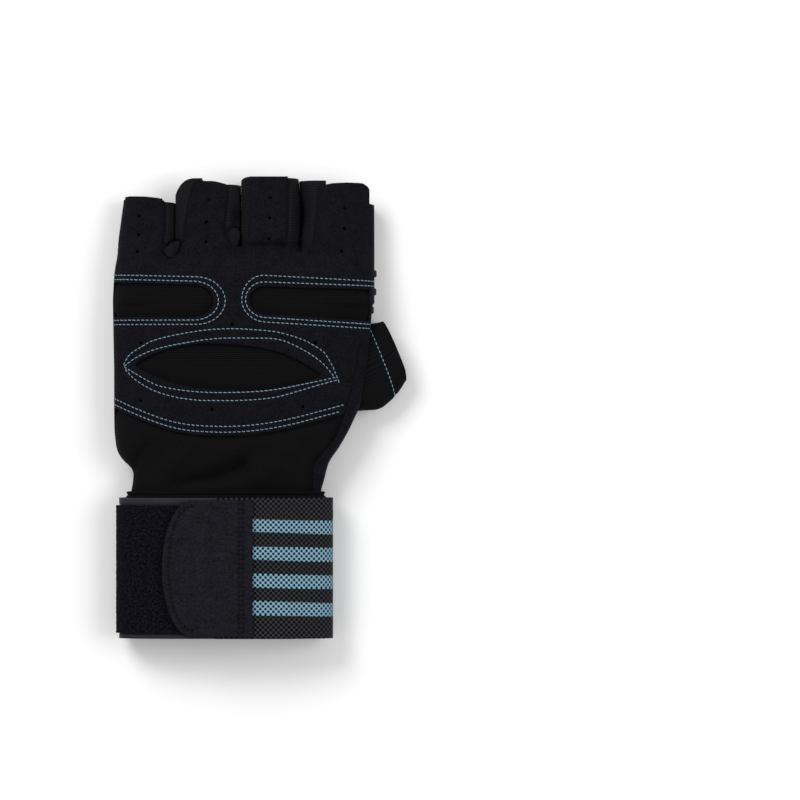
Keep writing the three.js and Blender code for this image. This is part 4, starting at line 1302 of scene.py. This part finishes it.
def wrap(name, start, end, low, high, offset, thickness, step=WRAP_STEP):
    """A strip round the wrist from turn start to end and from y low to high. offset gives its
    outer face's distance from the cuff for each turn and y."""
    turn = turns(start, end, step)
    rows = np.linspace(low, high, int((high - low) / step) + 1)[:, None]
    outer = offset(turn + 0 * rows, rows + 0 * turn)
    x, z = wrist_point(turn + 0 * rows, outer)
    faces = grid_faces(x.shape, turned=True).tolist()
    cloth = as_points(np.interp(turn, wrist_turn, wrist_arc), rows, 0)
    return piece(name, as_points(x, rows, z), faces, thickness, cloth=cloth)


def strip(made, length):
    """A straight strip's flat size in metres: its girth and the given length in mm."""
    return cloth_area(made) / (length * 0.001), length * 0.001


def tape_offset(turn, y):
    """The strap's outer face: bound borders a little proud, a stitched groove inside each."""
    top, bottom = BAND_TOP - y, y - BAND_BOTTOM
    inward = np.minimum(top - TAPE_BORDER, bottom - TAPE_BORDER * LOWER_BORDER)
    groove = -TAPE_GROOVE * np.exp(-((inward / 0.5) ** 2))
    return STRAP_OFFSET + STRAP_TAPE - 0.25 * ease(inward, -0.6, 0.6) + groove


strap = wrap(
    "loop_strap_tape",
    turn_at(STRAP_START, OVER_STRAP),
    UNDER_TURN - MEET_GAP,
    BAND_BOTTOM,
    BAND_TOP,
    tape_offset,
    STRAP_TAPE - TAPE_GROOVE,
)
made, tree, surface = finish("binding_tape", 0.55, 0.2, 0.015, 0.4)
where = add(tree, "Attribute", attribute_name="cloth")["Vector"]
parts = add(tree, "SeparateXYZ", {0: where})
wave = add(tree, "Math", {0: parts[0], 1: 2 * math.pi / WEFT}, operation="MULTIPLY")[0]
weft = add(tree, "Math", {0: wave}, operation="SINE")[0]
worn = add(tree, "TexNoise", {"Vector": where, "Scale": 0.5, "Detail": 3.0})["Fac"]
height = add(tree, "Math", {0: worn, 1: 1.5, 2: weft}, operation="MULTIPLY_ADD")[0]
level = add(tree, "MapRange", {"Value": height, "From Min": -1.0, "From Max": 2.5})["Result"]
coat(tree, surface, ramp(tree, height, "#101014", "#22212a", -0.5, 1.8), level, 0.08)
strap.data.materials.append(made)
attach(strap, "root")
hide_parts("loop_strap")
strip(strap, BAND_WIDTH)

# The loop patch: brushed loop pile sewn to the strap, from under the tab round the little
# finger's side.

LOOP_PILE = 0.9
LOOP_END = 0.58  # where the pile ends, as a share of the way round
LOOP_STEP = 0.55
ELASTIC_LAP = 15.6
PATCH_MARGIN = 2.5
HOOK_OFFSET = OVER_STRAP + LOOP_PILE + LAYER_GAP
ELASTIC_END = TAB_RIGHT - ELASTIC_LAP
PILE_LENGTH = BAND_WIDTH - (1 + LOWER_BORDER) * TAPE_BORDER
loop = wrap(
    "loop_patch_pile",
    turn_at(ELASTIC_END - PATCH_MARGIN, HOOK_OFFSET),
    LOOP_END * 2 * math.pi,
    BAND_BOTTOM + LOWER_BORDER * TAPE_BORDER,
    BAND_TOP - TAPE_BORDER,
    lambda turn, y: OVER_STRAP + LOOP_PILE + 0.16 * ripple(turn * 40, y, 1.9, 8),
    LOOP_PILE,
    LOOP_STEP,
)
made, tree, surface = finish("loop_pile", 1.0, 0.02, 0.012, 0.6)
where = add(tree, "Attribute", attribute_name="cloth")["Vector"]
fine = {"Vector": where, "Scale": 1.5, "Detail": 4.0, "Roughness": 0.7}
coarse = {"Vector": where, "Scale": 0.95, "Detail": 2.0, "Roughness": 0.6}
loops, tufts = (add(tree, "TexNoise", grains)["Fac"] for grains in (fine, coarse))
height = add(tree, "Math", {0: tufts, 1: 0.7, 2: loops}, operation="MULTIPLY_ADD")[0]
coat(tree, surface, ramp(tree, height, "#010102", "#1a1722", 0.74, 1.0), height, 0.8)
loop.data.materials.append(made)
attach(loop, "root")
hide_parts("loop_patch")
strip(loop, PILE_LENGTH)

# The elastic: wide woven elastic with a birdseye face, black with four blue stripes in the
# weave, from under the palm round the thumb's side and up over the strap's start.

ELASTIC_CLIMB = 15.2
HOOK_TAPE = 0.6
TAB_OFFSET = max(HOOK_OFFSET + HOOK_TAPE, OVER_STRAP + ELASTIC) + LAYER_GAP
CELL = 2.2  # between the weave's pits in one row, and twice the pitch of the rows
STRIPES = columns("top bottom", [(-47.0, -52.6), (-58.5, -64.1), (-70.0, -75.6), (-81.4, -87.3)])
STRIPE_SLOPE = 0.031  # how far a stripe falls for each mm to the right
climb_to = turn_at(STRAP_START + PATCH_MARGIN, OVER_STRAP)
climb_from = turn_at(STRAP_START + PATCH_MARGIN + ELASTIC_CLIMB, OVER_STRAP)


def elastic_offset(turn):
    """The elastic's outer face: on the cuff, then up over the strap's start."""
    turn = np.where(turn > math.pi, turn - 2 * math.pi, turn)
    climb = ease(turn, climb_from, climb_to)
    return STRAP_OFFSET + ELASTIC + (OVER_STRAP - STRAP_OFFSET) * climb


under = turns(UNDER_TURN + MEET_GAP, 2 * math.pi, WRAP_STEP)
over = turns(0, turn_at(ELASTIC_END, TAB_OFFSET), WRAP_STEP)[1:]
turn = np.concatenate([under, over])
rows = np.linspace(BAND_BOTTOM, BAND_TOP, int(BAND_WIDTH / WRAP_STEP) + 1)[:, None]
x, z = wrist_point(turn + 0 * rows, elastic_offset(turn))
girth = np.append(0, np.cumsum(np.hypot(np.diff(x[0]), np.diff(z[0]))))
band = piece(
    "elastic_band_weave",
    as_points(x, rows, z),
    grid_faces(x.shape, turned=True).tolist(),
    ELASTIC,
    cloth=as_points(girth, rows, x),
)
made, tree, surface = finish("woven_elastic", 0.8, 0.06, 0.01, 0.5)
where = add(tree, "Attribute", attribute_name="cloth")["Vector"]
parts = add(tree, "SeparateXYZ", {0: where})
waves = []
for part in parts[:2]:
    turned = add(tree, "Math", {0: part, 1: 2 * math.pi / CELL}, operation="MULTIPLY")[0]
    waves.append(add(tree, "Math", {0: turned}, operation="COSINE")[0])
pits = add(tree, "Math", dict(enumerate(waves)), operation="MULTIPLY")[0]
bars = add(tree, "Math", {0: pits, 1: -1.0}, operation="MULTIPLY")[0]
yarn = {"Vector": where, "Scale": 2.5, "Detail": 3.0, "Roughness": 0.6}
fuzz = add(tree, "TexNoise", yarn)["Fac"]
face = add(tree, "Math", {0: fuzz, 1: 0.7, 2: bars}, operation="MULTIPLY_ADD")[0]
black = ramp(tree, face, "#010101", "#303034", 0.0, 0.75)
blue = ramp(tree, face, "#020d15", "#7ba0b2", -0.05, 0.62)
# The stripes' edges follow the weave's pits
slid = add(tree, "Math", {0: parts[2], 1: STRIPE_SLOPE, 2: parts[1]}, operation="MULTIPLY_ADD")[0]
edged = add(tree, "Math", {0: waves[0], 1: 0.25, 2: slid}, operation="MULTIPLY_ADD")[0]
striped = 0.0
for top, bottom in zip(*STRIPES.values()):
    middle = add(tree, "Math", {0: edged, 1: (top + bottom) / 2}, operation="SUBTRACT")[0]
    away = add(tree, "Math", {0: middle}, operation="ABSOLUTE")[0]
    inside = add(tree, "Math", {0: away, 1: (top - bottom) / 2}, operation="LESS_THAN")[0]
    striped = add(tree, "Math", {0: striped, 1: inside}, operation="MAXIMUM")[0]
both = add(tree, "Mix", {0: striped, 6: black, 7: blue}, data_type="RGBA")[2]
level = add(tree, "MapRange", {"Value": face, "From Min": -1.0, "From Max": 1.7})["Result"]
coat(tree, surface, both, level, 0.45)
band.data.materials.append(made)
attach(band, "root")
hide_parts("elastic_band")
strip(band, BAND_WIDTH)

# The hook patch: stiff moulded hook tape sewn to the tab's underside and pressed into the
# pile, so that none of it shows from above.

HOOK_WIDTH = 23.6
TAB_LENGTH = 38.0
TAB_LEFT = TAB_RIGHT - TAB_LENGTH
BAND_MIDDLE = (BAND_TOP + BAND_BOTTOM) / 2
hook = wrap(
    "hook_patch_tape",
    turn_at(ELASTIC_END - PATCH_MARGIN, HOOK_OFFSET),
    turn_at(TAB_LEFT + PATCH_MARGIN, HOOK_OFFSET),
    BAND_MIDDLE - HOOK_WIDTH / 2,
    BAND_MIDDLE + HOOK_WIDTH / 2,
    lambda turn, y: HOOK_OFFSET + HOOK_TAPE + 0 * turn,
    HOOK_TAPE,
)
made, tree, surface = finish("hook_tape", 0.6, 0.3)
where = add(tree, "Attribute", attribute_name="cloth")["Vector"]
hooks = add(tree, "TexNoise", {"Vector": where, "Scale": 1.2, "Detail": 1.0})["Fac"]
coat(tree, surface, ramp(tree, hooks, "#0c0c0d", "#1f1f21", 0.3, 0.7), hooks, 0.3)
hook.data.materials.append(made)
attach(hook, "root")
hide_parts("hook_patch")
strip(hook, HOOK_WIDTH)

# The strap tab: the suede again, over the elastic's end and the hook patch. Its free end is
# rounded, it is edged with dark stitching, and two rows hold it to the elastic.

TAB_SLANT = 12.8
TAB_MARGIN = 0.8
TAB_STEP = 0.45
TAB_STITCH = 2.6
TAB_HOLES = 1.93  # between needle holes
TAB_ROWS = (5.6, 3.9)  # the two straight rows' distances from the tab's right edge
TAB_HALF = BAND_WIDTH / 2 - TAB_MARGIN
TAB_TOP = TAB_OFFSET + SUEDE


def tab_line(inset, turn):
    """The tab's rounded end, moved inwards by an inset."""
    x = TAB_LEFT + TAB_SLANT - (TAB_SLANT - inset) * np.sin(turn)
    return np.column_stack([x, BAND_MIDDLE + (TAB_HALF - inset) * np.cos(turn)])


def straight_rows(inset):
    """The two straight rows down the tab's right edge, an inset from its ends."""
    ends = BAND_MIDDLE + TAB_HALF - inset, BAND_MIDDLE - TAB_HALF + inset
    return [np.column_stack([[TAB_RIGHT - back_from] * 2, ends]) for back_from in TAB_ROWS]


def turn_over(x):
    """The turns round the wrist at which the tab's upper face is over places across."""
    return np.arccos((x - WRIST_MIDDLE) / (WRIST_WIDTH / 2 + TAB_TOP))


tab_turns = [turn_at(TAB_RIGHT, TAB_TOP), turn_at(TAB_LEFT - 1.5, TAB_TOP)]
first, last = np.interp(tab_turns, wrist_turn, wrist_arc)
cols = np.linspace(first, last, int((last - first) / TAB_STEP) + 1)
rows = np.linspace(BAND_BOTTOM, BAND_TOP, int(BAND_WIDTH / TAB_STEP) + 1)
s, y = np.meshgrid(cols, rows)
nose = tab_line(0, np.linspace(0, math.pi, 61))
# The right edge coincides with the grid's first column, so the outline runs past it
past = TAB_RIGHT + 5
corners = [(past, BAND_MIDDLE + TAB_HALF), (past, BAND_MIDDLE - TAB_HALF)]
fine = dense(np.vstack([corners[0], nose, corners[1]]), 0.8, True)
outline = np.column_stack([np.interp(turn_over(fine[:, 0]), wrist_turn, wrist_arc), fine[:, 1]])
flat, faces, edge = trim(np.column_stack([s.ravel(), y.ravel()]), s.shape, TAB_STEP, [outline], [])
turn = np.interp(flat[:, 0], wrist_arc, wrist_turn)
x = WRIST_MIDDLE + (WRIST_WIDTH / 2 + TAB_TOP) * np.cos(turn)
rim = tab_line(TAB_STITCH, np.linspace(0.02, math.pi - 0.02, 181))
furrow = distance_to(np.column_stack([x, flat[:, 1]]), rim, False)[0]
for back_from in TAB_ROWS:
    furrow = np.minimum(furrow, np.abs(x - TAB_RIGHT + back_from))
holes = np.vstack([dense(row, TAB_HOLES) for row in [rim, *straight_rows(0)]])
near = [np.hypot(x - hx, flat[:, 1] - hy) for hx, hy in holes]
# Nearness to a needle hole: it dents the cloth there and also carries the painted shade in each hole.
hole = np.exp(-((np.min(near, axis=0) / 0.55) ** 2))
# Pressed in along the stitching, at the cut edge and at each needle hole
press = -0.3 * np.exp(-((furrow / 0.6) ** 2)) - 0.15 * np.exp(-np.abs(edge) / 0.6) - 0.25 * hole
sway = 0.3 * ripple(x, flat[:, 1], 26, 12)
lift = TAB_TOP + press + sway * ease(np.abs(edge), 0, 8)
tx, tz = wrist_point(turn, lift)
tab = piece(
    "strap_tab_suede",
    np.column_stack([tx, flat[:, 1], tz]),
    faces,
    SUEDE,
    flip=True,
    # The third value is each point's nearness to a needle hole, where the suede material paints
    # shade.
    cloth=np.column_stack([flat, hole]),
)
tab.data.materials.append(suede_material("suede_tab", "#08070b", "#201f26"))
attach(tab, "root")
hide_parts("strap_tab")
cloth_area(tab)

# The stitching: lockstitch in spun polyester thread, light blue round the openings, along the
# hem and on the thumb stall, and dark on the tab. Each stitch is a short rounded bar that
# dives into the cloth at both ends.

BLUE = {"length": 1.62, "width": 0.36, "rise": 0.24, "pitch": 1.93}
DARK = {"length": 1.3, "width": 0.42, "rise": 0.16, "pitch": 1.75}
STITCH_SINK = 0.12  # how deep a stitch's line lies in the cloth
STITCH_SLANT = 0.09
STITCH_RINGS = np.linspace(-1, 1, 7)
STITCH_SIDES = 8
PLY = 0.5  # between the thread's ply lines


def space(line, pitch):
    """Points and directions evenly spaced along a line in space."""
    steps = np.linalg.norm(np.diff(line, axis=0), axis=1)
    run = np.append(0, np.cumsum(steps))
    at = np.arange(pitch / 2, run[-1], pitch)

    def look(where):
        """The points at distances along the line."""
        return np.column_stack([np.interp(where, run, line[:, i]) for i in range(3)])

    way = look(at + 0.4) - look(at - 0.4)
    return look(at), way / np.linalg.norm(way, axis=1, keepdims=True)


def stitches(name, lines, ups, material, length, width, rise, pitch):
    """Rows of stitches as one mesh: each is a tube swept along a low arch, its width following
    a rounded end, at even spacing along its line in space."""
    spaced = [space(line, pitch) for line in lines]
    rows = [(place, way, up(place)) for (place, way), up in zip(spaced, ups)]
    centre, way, up = (np.vstack(part)[:, None, None] for part in zip(*rows))
    draw = np.random.default_rng(21)
    count = len(centre)
    aside = np.cross(way, up)
    aside = aside / np.linalg.norm(aside, axis=-1, keepdims=True)
    way = way + aside * (STITCH_SLANT + 0.05 * draw.standard_normal((count, 1, 1, 1)))
    size = 1 + 0.06 * draw.standard_normal((count, 1, 1, 1))
    ring = STITCH_RINGS[None, :, None, None]
    girth = np.sqrt(np.clip(1 - (np.abs(ring) ** 3) * 0.93, 0, 1))
    turn = np.linspace(0, 2 * math.pi, STITCH_SIDES, endpoint=False)[None, None, :, None]
    points = (
        centre
        + way * ring * length / 2 * size
        + up * (rise * (1 - ring**2) - STITCH_SINK + girth * width * 0.36 * np.sin(turn))
        + aside * girth * width / 2 * np.cos(turn)
    )
    apart = 7.3 * np.arange(count)[:, None, None]  # so that no two stitches show the same fuzz
    made = piece(
        name,
        points.reshape(-1, 3),
        ringed(count, len(STITCH_RINGS), STITCH_SIDES),
        cloth=as_points(ring[..., 0] * length / 2 + apart, turn[..., 0], 0),
    )
    made.data.materials.append(material)
    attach(made, "root")


def thread_material(name, dark, light):
    """Two-ply spun polyester: slanting ply lines round the thread and a little fuzz."""
    made, tree, surface = finish(name, 0.7, 0.12, 0.02, 0.5)
    where = add(tree, "Attribute", attribute_name="cloth")["Vector"]
    parts = add(tree, "SeparateXYZ", {0: where})
    slant = {0: parts[0], 1: 2 * math.pi / PLY, 2: parts[1]}
    twist = add(tree, "Math", slant, operation="MULTIPLY_ADD")[0]
    ply = add(tree, "Math", {0: twist}, operation="SINE")[0]
    fuzz = add(tree, "TexNoise", {"Vector": where, "Scale": 3.0})["Fac"]
    height = add(tree, "Math", {0: fuzz, 1: 1.2, 2: ply}, operation="MULTIPLY_ADD")[0]
    level = add(tree, "MapRange", {"Value": height, "From Min": -1.0, "From Max": 2.2})["Result"]
    coat(tree, surface, ramp(tree, height, dark, light, -0.6, 1.6), level, 0.06)
    return made


def top_normal(place):
    """The back's outward direction at points of it, from the height's slopes."""
    x, y = place[:, 0], place[:, 1]
    slope_x = glove_top(x + 0.3, y) - glove_top(x - 0.3, y)
    slope_y = glove_top(x, y + 0.3) - glove_top(x, y - 0.3)
    up = np.column_stack([-slope_x, -slope_y, np.full(len(x), 0.6)])
    return up / np.linalg.norm(up, axis=1, keepdims=True)


def on_back(line):
    """A plan line on the back, without what lies past the sides."""
    x, y = line.T
    kept = (x > seam_edge(y, -1) + 0.02) & (x < seam_edge(y, 1) - 0.02)
    x, y = x[kept], y[kept]
    z = glove_top(x, y) - 0.2
    return np.column_stack([x, y, z])


def thumb_up(place):
    """The stall's outward direction, straight away from its axis."""
    centre = thumb_root + ((place[:, :2] - thumb_root) @ thumb_way)[:, None] * thumb_way
    out = place - np.column_stack([centre, np.full(len(place), THUMB_CLEAR + THUMB_HEIGHT / 2)])
    out[:, 2] *= 1.8
    return out / np.linalg.norm(out, axis=1, keepdims=True)


slanted = hem_share + 0.02 * np.cos(thumb_turn)
thumb_ring = thumb_point(slanted, thumb_turn, -0.2)
shown = slanted > begin + 0.02
start_at = int(np.flatnonzero(shown & ~np.roll(shown, 1))[0]) if not shown.all() else 0
thumb_row = np.roll(thumb_ring, -start_at, 0)[: int(shown.sum())]
blue_lines = [on_back(row) for row in blue_rows]
thread_blue = thread_material("thread_blue", "#4a6575", "#8fabb9")
blue_ups = [top_normal] * len(blue_lines) + [thumb_up]
stitches("stitches_blue", [*blue_lines, thumb_row], blue_ups, thread_blue, **BLUE)


def tab_point(line):
    """A plan line on the tab's upper face."""
    x, z = wrist_point(turn_over(line[:, 0]), TAB_TOP - 0.3)
    return np.column_stack([x, line[:, 1], z])


def tab_normal(place):
    """The tab's outward direction, from the wrist's section."""
    turn = turn_over(place[:, 0])
    ax, az = wrist_point(turn - 0.01, TAB_OFFSET)
    bx, bz = wrist_point(turn + 0.01, TAB_OFFSET)
    up = np.column_stack([-(bz - az), 0 * ax, bx - ax])
    up = up * np.sign(up[:, 2:])
    return up / np.linalg.norm(up, axis=1, keepdims=True)


tab_rows = [tab_point(dense(row, 0.3)) for row in [rim, *straight_rows(0.6)]]
thread_dark = thread_material("thread_dark", "#030304", "#0e0d11")
stitches("stitches_dark", tab_rows, [tab_normal] * len(tab_rows), thread_dark, **DARK)

# The floor, the light and the camera: a pale floor under broad soft light, seen from straight
# above.

PHOTO_SCALE = 0.42  # mm per pixel in the glove's middle plane
PHOTO_SIZE = 800  # pixels
MIDDLE_PLANE = 0.016
CAMERA_HEIGHT = 2.5
CAMERA_CENTRE = (0.0590, 0.0028)
plane = bpy.data.meshes.new("floor")
plane.from_pydata([(-3, -3, 0), (3, -3, 0), (3, 3, 0), (-3, 3, 0)], [], [(0, 1, 2, 3)])
floor = bpy.data.objects.new("floor", plane)
bpy.context.scene.collection.objects.link(floor)
made, tree, surface = finish("paper", 0.9, 0.1)
surface.inputs["Base Color"].default_value = (0.86, 0.86, 0.86, 1)
plane.materials.append(made)

world = bpy.data.worlds.new("studio")
bpy.context.scene.world = world
world.use_nodes = True
sky = world.node_tree.nodes["Background"].inputs
sky["Color"].default_value = (1, 1, 1, 1)
sky["Strength"].default_value = 0.62


def softbox(name, place, size, power):
    """A square area light turned to the glove."""
    data = bpy.data.lights.new(name, "AREA")
    data.size = size
    data.energy = power
    made = bpy.data.objects.new(name, data)
    made.location = place
    away = -np.array(place) / np.linalg.norm(place)
    made.rotation_euler = (math.acos(-away[2]), 0, math.atan2(-away[0], away[1]))
    bpy.context.scene.collection.objects.link(made)


softbox("key", (-0.8, 1.0, 1.3), 0.8, 20)
softbox("fill", (1.0, 0.1, 1.3), 0.8, 9)

lens = bpy.data.cameras.new("camera")
lens.sensor_width = 36
lens.lens = 36 * (CAMERA_HEIGHT - MIDDLE_PLANE) / (PHOTO_SIZE * PHOTO_SCALE * 0.001)
camera = bpy.data.objects.new("camera", lens)
camera.location = (*CAMERA_CENTRE, CAMERA_HEIGHT)
bpy.context.scene.collection.objects.link(camera)
bpy.context.scene.camera = camera
bpy.context.scene.view_settings.view_transform = "Standard"
